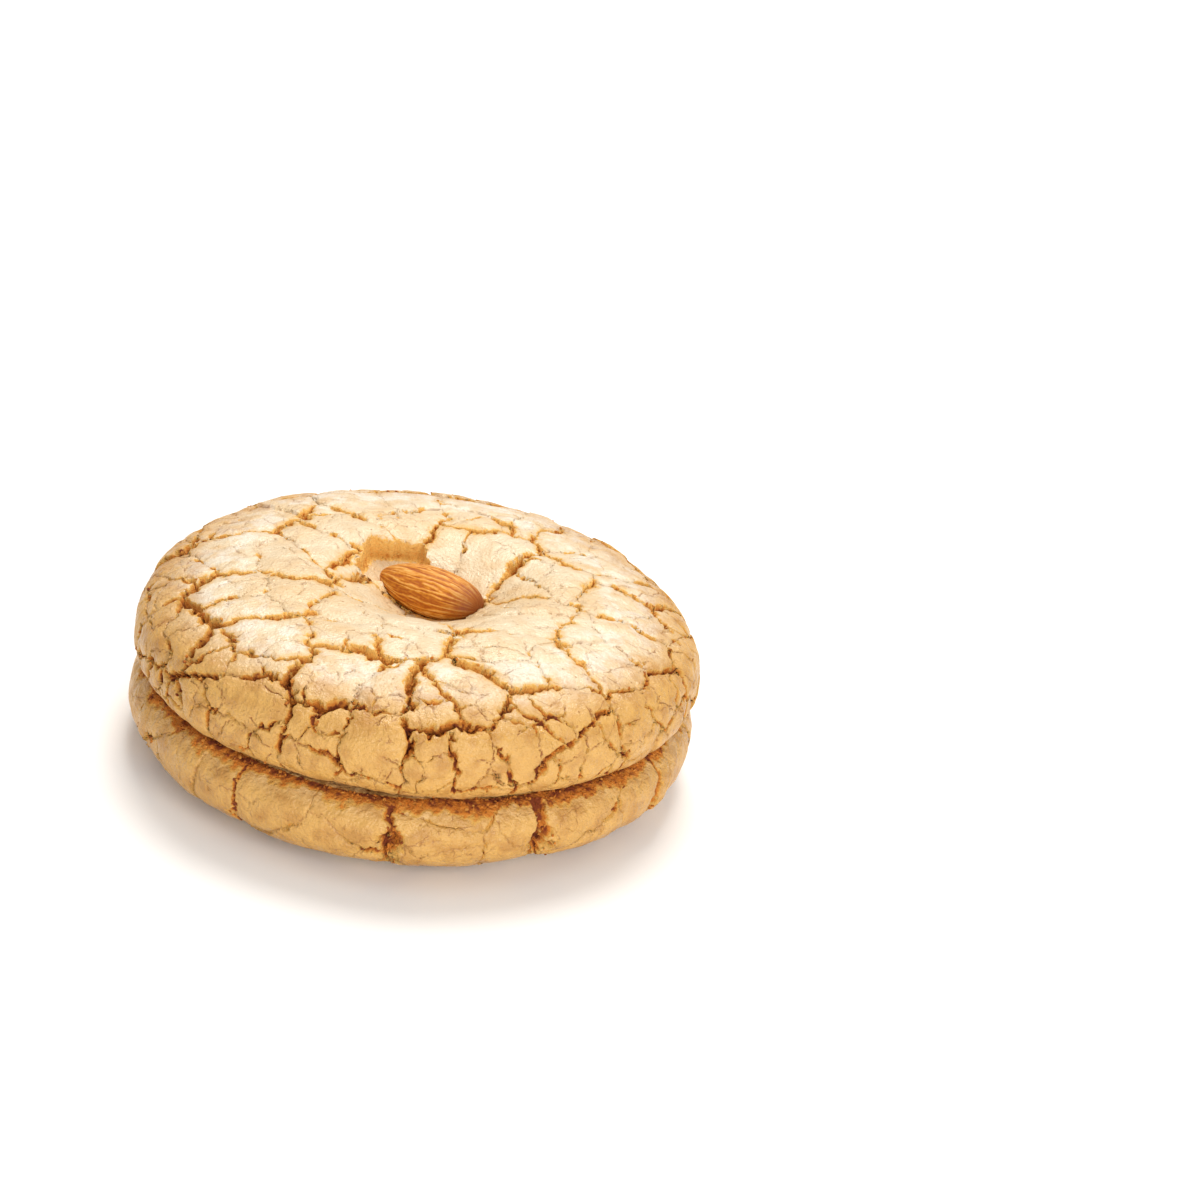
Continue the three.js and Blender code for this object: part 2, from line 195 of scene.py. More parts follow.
# %% Sizes of the halves
UPPER = Bundle(
    radius=49.3,  # widest ring
    belly=5.3,  # its height above the base
    base=43.0,  # radius of the flat face that sticks to the other half
    height=19.2,
    dome_power=3.4,  # 2 is a round dome, more is flatter on top with fuller shoulders
    sway=(0.03, 180),  # share by which back and front stand higher and the sides lower; the back's azimuth
    dimple=Bundle(x=1.5, y=2.2, radius=24, depth=8.1, power=1.1),
    lobes=[(2, 0.008, 80), (3, 0.006, -50), (5, 0.004, 15)],  # how many, how far out, azimuth of one
    flat_top=math.inf,  # nothing rests on this crust
)
LOWER = Bundle(
    radius=50.0, belly=4.6, base=44.5, height=15.9, dome_power=3.1, sway=(0, 0),
    dimple=Bundle(x=-1.0, y=-2.0, radius=22, depth=4.0, power=1.2),
    lobes=[(2, 0.006, 20), (3, 0.005, 70), (5, 0.003, -30)],
    flat_top=15.4,  # this half is turned over and lies on its crust
)
SEAM_GAP = 0.3  # between the two bases
print("stacked height in mm:", LOWER.flat_top + SEAM_GAP + UPPER.height, "before plates swell")

# %% [markdown]
# ### Its outline
# The outline is two arcs, the dome and the tuck under the belly. Along with each of its points goes how far
# it is from the top, measured along the skin, because the map below counts in that distance.

# %% Outline of a half
PROFILE_STEPS = 240  # in each of the two arcs


def skin_profile(half):
    """Radius and height by the distance along the skin from the top of the dome."""
    turn = np.linspace(0, np.pi / 2, PROFILE_STEPS + 1)
    bend = 2 / half.dome_power
    dome = half.radius * np.sin(turn) ** bend
    dome_height = half.belly + (half.height - half.belly) * np.maximum(np.cos(turn), 0) ** bend
    tuck = half.base + (half.radius - half.base) * np.cos(turn[1:])
    tuck_height = half.belly * (1 - np.sin(turn[1:]))
    radii = np.concatenate([dome, tuck])
    heights = np.concatenate([dome_height, tuck_height])
    reach = np.concatenate([[0], np.cumsum(np.hypot(np.diff(radii), np.diff(heights)))])
    return reach, radii, heights


for half in (UPPER, LOWER):
    half.profile = skin_profile(half)
    half.length = half.profile[0][-1]
print("skin lengths in mm:", round(UPPER.length, 2), round(LOWER.length, 2))

# %% [markdown]
# ## Unrolling the crust
# Cracks are easier to lay out on flat ground. So the skin is unrolled to a round map, on which a point's
# distance from the middle is its distance along the skin from the top of the dome. These two functions roll
# the map back up: one gives the place of a map point on the dome, the other the direction in which the skin
# faces.

# %% From the flat map to the crust
NORMAL_STEP = 0.05


def lobes_at(half, azimuth):
    out = np.ones_like(azimuth)
    for count, share, peak in half.lobes:
        out += share * np.cos(count * (azimuth - math.radians(peak)))
    return out


def skin_point(half, uv):
    reach, radii, heights = half.profile
    azimuth = np.arctan2(uv[:, 0], -uv[:, 1])
    distance = np.hypot(uv[:, 0], uv[:, 1])
    radius = np.interp(distance, reach, radii)
    height = np.interp(distance, reach, heights)
    out = radius * lobes_at(half, azimuth)
    x, y = out * np.sin(azimuth), -out * np.cos(azimuth)
    share, peak = half.sway
    z = height * (1 + share * (radius / half.radius) ** 2 * np.cos(2 * (azimuth - math.radians(peak))))
    dimple = half.dimple
    away = np.minimum(np.hypot(x - dimple.x, y - dimple.y) / dimple.radius, 1)
    z -= dimple.depth * (0.5 + 0.5 * np.cos(np.pi * away)) ** dimple.power
    return np.stack([x, y, z], -1)


def skin_normal(half, uv):
    along = skin_point(half, uv + [NORMAL_STEP, 0]) - skin_point(half, uv - [NORMAL_STEP, 0])
    aside = skin_point(half, uv + [0, NORMAL_STEP]) - skin_point(half, uv - [0, NORMAL_STEP])
    normal = np.cross(along, aside)
    return normal / np.linalg.norm(normal, axis=-1, keepdims=True)


map_middle = np.zeros((1, 2))
print("middle of the upper half is", round(skin_point(UPPER, map_middle)[0, 2], 2), "mm above its base")

# %% [markdown]
# ## Where the crust cracks
# A drying skin breaks into large fields first, each field splits into plates, and the plates craze. A
# picture of cracks could be painted on, but then the plates would have no edges. Here the same rule runs
# three times: the nearest seed takes the ground. The large fields that show have their seeds where the
# photograph has their middles, and all others are scattered by a draw with a fixed seed.

# %% Layout of the fields
UPPER.seed, LOWER.seed = 41, 7
UPPER.fields = [  # azimuth, and distance from the map's middle
    (66, 18), (111, 22), (147, 18), (-131, 22), (-12, 24),
    (163, 33), (-164, 30), (-97, 31), (-66, 35), (36, 32),
    (-122, 40), (-84, 46), (-62, 48), (-42, 41), (-10, 38), (15, 41), (31, 48),
    (-60, 59), (-36, 53), (-9, 53), (15, 55), (38, 58),
]
LOWER.fields = []
UPPER.arcs = [(37, 3, 66, 29), (55, 8, 62, 27)]  # distance, how many, first azimuth, step
LOWER.arcs = [(14, 5, 0, 72), (34, 8, 10, 45), (52, 11, 164, 32.7)]
UPPER.areas = {"side": 118, "fine": 28}  # square millimetres of one plate, and of one piece of crazing
LOWER.areas = {"side": 215, "fine": 60}
ARC_SCATTER = (0.16, 2.2)  # share of the step, and millimetres


def make_draw(seed):
    """Draws from 0 to 1, the same ones as the solids were made with."""
    low_bits = 0xFFFFFFFF
    state = seed

    def draw():
        nonlocal state
        state = (state + 0x6D2B79F5) & low_bits
        t = ((state ^ (state >> 15)) * (1 | state)) & low_bits
        t = ((t + ((t ^ (t >> 7)) * (61 | t))) & low_bits) ^ t
        return (t ^ (t >> 14)) / 2**32

    return draw


def on_map(places):
    return [(d * math.sin(math.radians(a)), -d * math.cos(math.radians(a))) for a, d in places]


def field_seeds(half, draw):
    places = list(half.fields)
    for distance, count, azimuth, step in half.arcs:
        for i in range(count):
            turned = azimuth + step * (i + ARC_SCATTER[0] * (2 * draw() - 1))
            places.append((turned, distance + ARC_SCATTER[1] * (2 * draw() - 1)))
    return [(half.dimple.x, half.dimple.y)] + on_map(places)


print("large fields:", [len(field_seeds(half, make_draw(half.seed))) for half in (UPPER, LOWER)])

# %% [markdown]
# ### Who owns the ground
# A field is what is left of the map after it was cut back to the side nearer to its own seed, once for each
# other seed. A ready-made Voronoi routine would be faster, but here each side can remember whether it is a
# main crack, a side crack or fine crazing.


# %% Nearest seed takes the ground
def sides_of(outline):
    return zip(outline, outline[1:] + outline[:1])


def keep_nearer(outline, seed, other, kind):
    """Cuts an outline back to what is nearer to one seed. A corner carries the kind of the side after it."""
    nx, ny = other[0] - seed[0], other[1] - seed[1]
    limit = (other[0] ** 2 + other[1] ** 2 - seed[0] ** 2 - seed[1] ** 2) / 2
    kept = []
    for a, b in sides_of(outline):
        over_a = nx * a[0] + ny * a[1] - limit
        over_b = nx * b[0] + ny * b[1] - limit
        if over_a <= 0:
            kept.append(a)
        if (over_a <= 0) != (over_b <= 0):
            share = over_a / (over_a - over_b)
            x, y = a[0] + (b[0] - a[0]) * share, a[1] + (b[1] - a[1]) * share
            kept.append((x, y, kind if over_a <= 0 else a[2]))
    return kept


def cells_in(outline, seeds, kind):
    cells = []
    for seed in seeds:
        cell = outline
        for other in seeds:
            if other is not seed:
                cell = keep_nearer(cell, seed, other, kind)
        cells.append(cell)
    return cells


def area_of(outline):
    return abs(sum(a[0] * b[1] - b[0] * a[1] for a, b in sides_of(outline))) / 2


square = [(0, 0, "rim"), (2, 0, "rim"), (2, 2, "rim"), (0, 2, "rim")]
print("two seeds part a square into", [area_of(cell) for cell in cells_in(square, [(0, 1), (1, 1)], "main")])

# %% [markdown]
# ### Fields into plates
# Plates are about as large as each other, and never quite alike. A plain draw would crowd some and leave
# gaps, so each new seed is the best of several draws, the one farthest from those already there.

# %% Scatter the plates
RIM_SIDES = 108  # the edge of the base, as a polygon
TRIES = 12  # draws for one seed


def is_inside(outline, x, y):
    return all((b[0] - a[0]) * (y - a[1]) - (b[1] - a[1]) * (x - a[0]) >= 0 for a, b in sides_of(outline))


def scatter_in(outline, area_each, draw):
    xs, ys = [p[0] for p in outline], [p[1] for p in outline]
    places = []
    while len(places) < max(1, math.floor(area_of(outline) / area_each + 0.5)):
        best, best_room = None, -1
        for _ in range(TRIES):
            x = min(xs) + (max(xs) - min(xs)) * draw()
            y = min(ys) + (max(ys) - min(ys)) * draw()
            if not is_inside(outline, x, y):
                continue
            room = min((math.hypot(x - p[0], y - p[1]) for p in places), default=math.inf)
            if room > best_room:
                best, best_room = (x, y), room
        if best:
            places.append(best)
    return places


def lay_plates(half):
    draw, fine_draw = make_draw(half.seed), make_draw(half.seed + 1)
    turns = [2 * math.pi * i / RIM_SIDES for i in range(RIM_SIDES)]
    rim = [(half.length * math.cos(t), half.length * math.sin(t), "rim") for t in turns]
    plates = []
    for field in cells_in(rim, field_seeds(half, draw), "main"):
        plates += cells_in(field, scatter_in(field, half.areas["side"], draw), "side")
    crazed = [cells_in(plate, scatter_in(plate, half.areas["fine"], fine_draw), "fine") for plate in plates]
    owners = [n for n, cells in enumerate(crazed) for _ in cells]
    return [cell for cells in crazed for cell in cells], owners


for half in (UPPER, LOWER):
    half.cells, half.owners = lay_plates(half)
    print("crust of", half.owners[-1] + 1, "plates in", len(half.cells), "cells")

# %% [markdown]
# ## Crack lines
# Two cells that meet share one line of points, which will be the bottom of the crack between them. First
# the lines are cut into short steps, and every point is kept once, with the rank of the widest crack that
# it is on.

# %% Points that cracks share
SNAP = 1e-4  # points closer than this are one point
CRACK_STEP = 0.46  # longest step along a crack
RANK = {"fine": 0, "side": 1, "main": 2, "rim": 3}


def share_corners(cells):
    corners = np.array([p[:2] for cell in cells for p in cell])
    shared = []
    for cell in cells:
        outline = []
        for a, b in sides_of(cell):
            start = np.array(a[:2])
            side = np.array(b[:2]) - start
            long = math.hypot(*side)
            if long < SNAP:
                continue
            side /= long
            along = (corners - start) @ side
            off = (corners - start) @ np.array([-side[1], side[0]])
            on_side = (along > SNAP) & (along < long - SNAP) & (np.abs(off) < SNAP)
            stops = np.concatenate([[0], np.sort(along[on_side]), [long]])
            for near, far in zip(stops, stops[1:]):
                pieces = math.ceil((far - near) / CRACK_STEP) if far - near > SNAP else 0
                for n in range(pieces):
                    outline.append((*(start + side * (near + (far - near) * n / pieces)), a[2]))
        shared.append(outline)
    return shared


def shared_points(cells):
    index_of, places, ranks, outlines = {}, [], [], []
    for cell in share_corners(cells):
        ids = []
        for before, (x, y, kind) in zip(cell[-1:] + cell[:-1], cell):
            n = index_of.setdefault((round(x * 1000), round(y * 1000)), len(places))
            if n == len(places):
                places.append((x, y))
                ranks.append(0)
            ranks[n] = max(ranks[n], RANK[kind], RANK[before[2]])
            ids.append(n)
        outlines.append(np.array(ids))
    return np.array(places), np.array(ranks), outlines


for half in (UPPER, LOWER):
    half.shared = shared_points(half.cells)
    print("points on cracks by rank:", dict(zip(RANK, np.bincount(half.shared[1]).tolist())))

# %% [markdown]
# ## How cracks run and open
# Straight cracks of even width would look like tiles. Real ones wander, open and close on their way, gape
# in a few places and heal to a hairline in others, and die out where the crust turns under. Sums of a few
# slow sine waves over the map give most of that. A few places that gape or heal are listed, at the front
# where the photograph has them.

# %% How far cracks open
UPPER.cracks = {"main": (1.15, 2.0), "side": (0.76, 1.2), "fine": (0.54, 0.7)}  # full width and depth
LOWER.cracks = {"main": (2.6, 2.0), "side": (0.5, 0.6), "fine": (0.25, 0.24)}
UPPER.gapes = [  # azimuth, and distance from the map's middle
    (-73, 40), (-59, 40), (-50, 46), (-28, 40), (-19, 45), (-13, 32), (11, 32), (22, 37), (5, 39), (9, 50),
    (36, 41), (124, 21), (161, 27), (-127, 31), (100, 42), (170, 50), (-150, 52), (-98, 14), (-114, 15),
]
LOWER.gapes = [(180, 53), (148, 52), (-118, 50), (90, 45), (-40, 48), (0, 30)]
UPPER.heals, LOWER.heals = [], [(-147, 48), (-147, 56)]
GAPE = (0.85, 5.0)  # how much more a crack opens or closes there, and how far that reaches
OPENING = 0.62  # mean share of a crack's full size
OPENING_WAVES = [(0.35, 17, 0), (0.4, 6.3, 2), (0.3, 2.9, 4)]  # share, wavelength, phase
# What each kind loses of its opening, on the crown and down the side, and the least that is left.
CLOSING = {"fine": (0.38, -0.05), "side": (0.32, 0.0), "main": (0.12, 0.05)}
NARROWEST = {"fine": 0, "side": 0, "main": 0.25}
FINE_PATCHES = (0.3, 0.5, 1.5, 13)  # crazing comes and goes: mean, more down the side, swing, wavelength


def drift(uv, wavelength, phase):
    """The mean of three sine waves that cross the map at different slants, from -1 to 1."""
    x, y = uv[:, 0], uv[:, 1]
    k = 2 * np.pi / wavelength
    first = np.sin(k * (0.8 * x + 0.6 * y) + phase)
    second = np.sin(k * 1.37 * (-0.5 * x + 0.87 * y) + 2.1 * phase + 1.3)
    third = np.sin(k * 0.73 * (0.2 * x - 0.98 * y) + 3.7 * phase + 0.4)
    return (first + second + third) / 3


def opening_at(half, uv, rank, down):
    waves = sum(share * drift(uv, wave, half.seed + phase) for share, wave, phase in OPENING_WAVES)
    opening = OPENING + waves
    for spots, change in ((half.gapes, GAPE[0]), (half.heals, -GAPE[0])):
        for spot in on_map(spots):
            opening += change * np.exp(-(((uv - spot) / GAPE[1]) ** 2).sum(1))
    for kind, (on_crown, on_side) in CLOSING.items():
        closed = np.maximum(opening - on_crown - (on_side - on_crown) * down, NARROWEST[kind])
        opening = np.where(rank == RANK[kind], closed, opening)
    mean, more, swing, wave = FINE_PATCHES
    patches = np.clip(mean + more * down + swing * drift(uv, wave, 3), 0, 1)
    opening *= np.where(rank == RANK["fine"], patches, 1)
    return np.where(rank == RANK["rim"], 1, opening)


swing = drift(UPPER.shared[0], *FINE_PATCHES[3:], 3)
print("crazing drifts from", round(swing.min(), 2), "to", round(swing.max(), 2))

# %% [markdown]
# ### Their course
# Each line is shifted by slow waves and jagged from point to point. How wide it is there says what shows:
# open crumb, a brown hairline or nothing.

# %% Where cracks run
CRACK_FADE = 9  # cracks die out over this distance from the edge of the base
DOWN_SIDE = (0.6, 0.15)  # the side begins at this share of the skin's length and is full after so much more
RIM_BORDER = 0.5  # smooth border along the edge of the base
WANDER = [(1.1, 8.5, 1), (0.45, 3.3, 5), (0.22, 1.5, 9)]  # reach, wavelength, phase
JAGGED = 0.18  # reach from point to point
OPEN_FROM = (0.12, 0.32)  # half widths at which crumb begins to show and is all that shows
HAIR_FROM = 0.05  # half width of a full hairline
ALIVE_FROM = 0.2  # a crack that faded to less than this share loses its colour too
UPPER.hairs, LOWER.hairs = 1, 0.5  # how dark hairlines are


def course_of(half, uv, rank, fade):
    line = uv + sum(
        (fade * reach)[:, None] * np.stack([drift(uv, wave, phase), drift(uv, wave, phase + 1)], -1)
        for reach, wave, phase in WANDER
    )
    line += np.random.default_rng(half.seed).normal(size=line.shape) * (fade * JAGGED)[:, None]
    on_rim = rank == RANK["rim"]
    line[on_rim] = uv[on_rim] * (half.length / np.hypot(*uv[on_rim].T))[:, None]
    return line


def crack_lines(half):
    uv, rank, outlines = half.shared
    from_middle = np.hypot(*uv.T)
    fade = np.where(rank == RANK["rim"], 0, np.clip((half.length - from_middle) / CRACK_FADE, 0, 1))
    down = np.clip((from_middle / half.length - DOWN_SIDE[0]) / DOWN_SIDE[1], 0, 1)
    sizes = [half.cracks[kind] for kind in ("fine", "side", "main")] + [(2 * RIM_BORDER, 0)]
    width, depth = np.array(sizes)[rank].T * opening_at(half, uv, rank, down)
    alive = np.clip(fade / ALIVE_FROM, 0, 1)
    broken = alive * np.clip((width / 2 - OPEN_FROM[0]) / (OPEN_FROM[1] - OPEN_FROM[0]), 0, 1)
    hair = half.hairs * np.clip(width / 2 / HAIR_FROM, 0, 1) * (1 - broken) * alive
    return Bundle(
        uv=course_of(half, uv, rank, fade), rank=rank, outlines=outlines, fade=fade,
        half_width=width / 2, depth=depth * fade, broken=broken, hair=hair,
    )


for half in (UPPER, LOWER):
    half.lines = crack_lines(half)
    print(round(100 * (half.lines.broken > 0.5).mean()), "% of the crack points lie open")

# %% [markdown]
# ## Points for the mesh
# An even mesh would need millions of faces to show a crack sharply. Here the points go where they are
# needed: along each crack's bottom, up its broken wall, over its brink, and thinly over the plates. What is
# known of a point is kept beside its place: its cell, the rank of its crack, its distance from the crack
# line, how far down the wall it lies, how much it is crumb or hairline, and how deep the crack is there.

# %% Helpers for points
ON_PLATE, IN_HOLLOW = -1, -2  # ranks of points that belong to no crack
USUAL = {"cell": 0, "rank": ON_PLATE, "offset": 0, "sunk": 0, "crumb": 0, "hair": 0, "depth": 0, "fade": 1}


def points_at(place, **known):
    columns = {name: np.broadcast_to(known.get(name, usual), len(place)) for name, usual in USUAL.items()}
    return Bundle(place=place, **columns)


def joined(groups):
    names = vars(groups[0])
    return Bundle(**{name: np.concatenate([vars(group)[name] for group in groups]) for name in names})


def part_of(points, chosen):
    return Bundle(**{name: column[chosen] for name, column in vars(points).items()})


def nearest(targets, places):
    """For each place, how far the nearest target is, and which one it is."""
    tree = KDTree(len(targets))
    for i, (u, v) in enumerate(targets.tolist()):
        tree.insert((u, v, 0), i)
    tree.balance()
    found = [tree.find((u, v, 0)) for u, v in places.tolist()]
    return np.array([f[2] for f in found]), np.array([f[1] for f in found])


def smooth_round(values, times):
    for _ in range(times):
        values = (np.roll(values, 1, 0) + 2 * values + np.roll(values, -1, 0)) / 4
    return values


print("kept beside each point's place:", *USUAL)

# %% [markdown]
# ### Cracks
# A crack that tore open has a rough bottom, steep walls and a brink that crumbled unevenly. Two rows of
# points climb each wall and a third lies just past the brink, so that the plate's edge stays crisp. Waves
# and small jumps in the rows' distance make the brink ragged. A crack too narrow for rows stays a line, for
# a hairline.

# %% Points of the cracks
# Rows lower down a wall carry more crumb, which also colours them darker: painted shade.
WALL = [(0.5, 0.85, 0.85), (1.0, 0.06, 0.42)]  # rows up a wall: share of the half width, of the depth, crumb
BEYOND_BRINK = (0.14, 0.32)  # the last row lies this far past a hairline, and past an open crack
BRINK_CRUMB = 0.04
RAGGED = (0.75, 0.26)  # in waves, and from point to point
RAGGED_LIMITS = (0.35, 2.1)  # least and most, as shares of the half width
LEAST_OFFSET = 0.1  # a nearer row would crowd the crack line


def facing_in(edge):
    along = np.roll(edge, -1, 0) - np.roll(edge, 1, 0)
    facing = smooth_round(np.stack([-along[:, 1], along[:, 0]], -1), 2)
    return facing / np.linalg.norm(facing, axis=1, keepdims=True)


def wall_rows(lines, ids, rng):
    waves = smooth_round(rng.normal(size=len(ids)), 1)
    ragged = 1 + RAGGED[0] * waves + RAGGED[1] * rng.uniform(-1, 1, len(ids))
    half_width = lines.half_width[ids] * np.clip(ragged, *RAGGED_LIMITS)
    beyond = BEYOND_BRINK[0] + (BEYOND_BRINK[1] - BEYOND_BRINK[0]) * lines.broken[ids]
    rows = [(half_width * share, sunk, crumb) for share, sunk, crumb in WALL]
    return rows + [(half_width + beyond, 0, BRINK_CRUMB)]


def crack_points(half):
    lines = half.lines
    rng = np.random.default_rng(half.seed)
    cell_at = np.zeros(len(lines.uv), int)
    for cell, ids in enumerate(lines.outlines):
        cell_at[ids] = cell
    bottom = {"cell": cell_at, "rank": lines.rank, "depth": lines.depth, "fade": lines.fade}
    groups = [points_at(lines.uv, **bottom, sunk=1, crumb=lines.broken, hair=lines.hair)]
    for cell, ids in enumerate(lines.outlines):
        edge = lines.uv[ids]
        inward = facing_in(edge)
        for offset, sunk, crumb in wall_rows(lines, ids, rng):
            keep = offset > LEAST_OFFSET
            here = ids[keep]
            groups.append(points_at(
                edge[keep] + inward[keep] * offset[keep, None], cell=cell, rank=lines.rank[here],
                offset=offset[keep], sunk=sunk, crumb=crumb * lines.broken[here],
                depth=lines.depth[here], fade=lines.fade[here],
            ))
    return groups


for half in (UPPER, LOWER):
    half.groups = crack_points(half)
    print(sum(len(group.place) for group in half.groups), "points in and beside cracks")

# %% [markdown]
# ### Plates
# Between the cracks the skin only swells, so a loose grid of points is enough, each one shifted a little so
# that no rows show. The band under the seam of the lower half is torn crumb, and its grid is closer.

# %% Points of the plates
PLATE_GAP = 0.62  # between points of the grid
FOOT_GAP = 0.38  # and in the torn band
UPPER.foot, LOWER.foot = 0, 6.5  # how wide the band with the close grid is
GRID_SHIFT = 0.25  # in gaps
ROW_GAP = 0.87  # rows of a grid of triangles lie this many gaps apart


def inside_mask(outline, places):
    a, b = outline, np.roll(outline, -1, 0)
    x, y = places[:, :1], places[:, 1:]
    spans = (a[:, 1] > y) != (b[:, 1] > y)
    rise = np.where(b[:, 1] == a[:, 1], 1, b[:, 1] - a[:, 1])
    crossing = a[:, 0] + (y - a[:, 1]) * (b[:, 0] - a[:, 0]) / rise
    return (spans & (x < crossing)).sum(1) % 2 == 1


def grid_in(outline, gap, rng):
    low, high = outline.min(0), outline.max(0)
    rows, columns = np.mgrid[low[1] : high[1] : gap * ROW_GAP, low[0] : high[0] : gap]
    shift = rng.uniform(-GRID_SHIFT, GRID_SHIFT, (rows.size, 2)) * gap
    grid = np.stack([columns.ravel(), rows.ravel()], -1) + shift
    return grid[inside_mask(outline, grid)]


def plate_points(half):
    rng = np.random.default_rng(half.seed)
    foot_from = half.length - half.foot
    groups = []
    for cell, ids in enumerate(half.lines.outlines):
        wide, close = (grid_in(half.lines.uv[ids], gap, rng) for gap in (PLATE_GAP, FOOT_GAP))
        grid = np.concatenate([wide[np.hypot(*wide.T) < foot_from], close[np.hypot(*close.T) >= foot_from]])
        fade = np.clip((half.length - np.hypot(*grid.T)) / CRACK_FADE, 0, 1)
        groups.append(points_at(grid, cell=cell, fade=fade))
    return groups


for half in (UPPER, LOWER):
    on_plates = plate_points(half)
    half.groups += on_plates
    print(sum(len(group.place) for group in on_plates), "points on plates")

# %% [markdown]
# ## Shapes grown by nodes
# A shape that follows a rule can be grown by a Geometry Nodes tree. Built in script, each of its sizes is a
# named input. One helper starts a tree and one ends it. The third hangs a tree on a mesh, sets its inputs
# before it first runs, and keeps only the plain mesh that comes out, because a part must not need its
# modifier.


# %% Helpers for trees
def new_tree(name, inputs):
    tree = bpy.data.node_groups.new(name, "GeometryNodeTree")
    tree.interface.new_socket("Geometry", in_out="INPUT", socket_type="NodeSocketGeometry")
    for label, kind in inputs:
        tree.interface.new_socket(label, in_out="INPUT", socket_type=f"NodeSocket{kind}")
    tree.interface.new_socket("Geometry", in_out="OUTPUT", socket_type="NodeSocketGeometry")
    return tree, partial(add, tree), add(tree, "NodeGroupInput").outputs


def finish_tree(put, geometry, material):
    realized = put("GeometryNodeRealizeInstances", {"Geometry": geometry})
    painted = put("GeometryNodeSetMaterial", {"Geometry": realized, "Material": material})
    put("NodeGroupOutput", {"Geometry": painted})


def grown(name, mesh, tree, values, place=Matrix()):
    holder = bpy.data.objects.new(name, mesh)
    scene.collection.objects.link(holder)
    modifier = holder.modifiers.new("shape", "NODES")
    modifier.node_group = tree
    sockets = {item.name: item.identifier for item in tree.interface.items_tree if item.in_out == "INPUT"}
    for label, value in values.items():
        modifier[sockets[label]] = value
    bpy.context.view_layer.update()
    result = bpy.data.meshes.new_from_object(holder.evaluated_get(bpy.context.evaluated_depsgraph_get()))
    bpy.data.objects.remove(holder)
    result.transform(place)
    result.name = name
    piece = bpy.data.objects.new(name, result)
    scene.collection.objects.link(piece)
    print(name, "has", len(result.vertices), "points and", len(result.polygons), "faces")
    return piece


print("a tree starts with new_tree, ends with finish_tree and runs in grown")

# %% [markdown]
# ## The almond
# An almond is a flattened drop, round at one end and slimmer at the other, in a brown skin with wavy ridges
# from end to end. It could be sculpted, but bending a sphere by a rule keeps its sizes open to change. A
# point's height on the sphere is its place along the almond. Its ridges are a comb of waves that wander
# with a noise drawn out lengthwise. The tree keeps how high each point lies on its ridge, for the finish.

# %% Ridges of the almond
RIDGES = 24
RIDGE_HEIGHT = 0.2  # millimetres
RIDGE_STRETCH = 0.7  # less than 1 draws the noise out lengthwise
WOBBLE_FINENESS, STREAK_FINENESS = 3.4, 14.0
RIDGE_WANDER = 3.4  # how far a ridge can stray, in ridges
RIDGE_SHARP = 1.6  # above 1 the crests are narrower than the furrows
CREST_SHARE = (0.62, 0.19)  # height of a ridge: share from the comb, and what is added to it
STREAK_SHARE = (1.3, -0.65)  # and from fine streaks


def ridges_on(put, along, around, cosine, sine, ridges):
    lengthwise = put(MATH, (along, RIDGE_STRETCH), operation="MULTIPLY")
    drawn_out = put("ShaderNodeCombineXYZ", (cosine, sine, lengthwise))
    wobble = put(NOISE, {"Vector": drawn_out, "Scale": WOBBLE_FINENESS, "Detail": 3.0})
    streaks = put(NOISE, {"Vector": drawn_out, "Scale": STREAK_FINENESS, "Detail": 4.0})
    share_round = put(MATH, (around, 2 * math.pi), operation="DIVIDE")
    turns = put(MATH, (share_round, ridges), operation="MULTIPLY")
    wandered = put(MATH, (wobble, RIDGE_WANDER, turns), operation="MULTIPLY_ADD")
    comb = put(MATH, [put(MATH, (wandered, 2 * math.pi), operation="MULTIPLY")], operation="COSINE")
    raised = put(MATH, (comb, 0.5, 0.5), operation="MULTIPLY_ADD")
    crest = put(MATH, (raised, RIDGE_SHARP), operation="POWER")
    height = put(MATH, (crest, *CREST_SHARE), operation="MULTIPLY_ADD")
    uneven = put(MATH, (streaks, *STREAK_SHARE), operation="MULTIPLY_ADD")
    return put("ShaderNodeClamp", [put(MATH, (height, uneven), operation="ADD")])


print(RIDGES, "ridges of", RIDGE_HEIGHT, "mm")

# %% [markdown]
# ### Its body
# The girth is a sine wave from end to end. Raising the way along it to a power moves its widest place, and
# raising the wave itself to a power, which changes on the way, makes one end blunt and the other a tip.

# %% Body of the almond
ALMOND_RINGS, ALMOND_SEGMENTS = 150, 264


def girth_of(put, along, given):
    bent = put(MATH, (along, given["Bulge"]), operation="POWER")
    half_turn = put(MATH, (bent, math.pi), operation="MULTIPLY")
    wave = put(MATH, (put(MATH, [half_turn], operation="SINE"), 0.0), operation="MAXIMUM")
    sharper = put(MATH, (given["Tip Power"], given["Blunt Power"]), operation="SUBTRACT")
    power = put(MATH, (along, sharper, given["Blunt Power"]), operation="MULTIPLY_ADD")
    return put(MATH, (wave, power), operation="POWER")


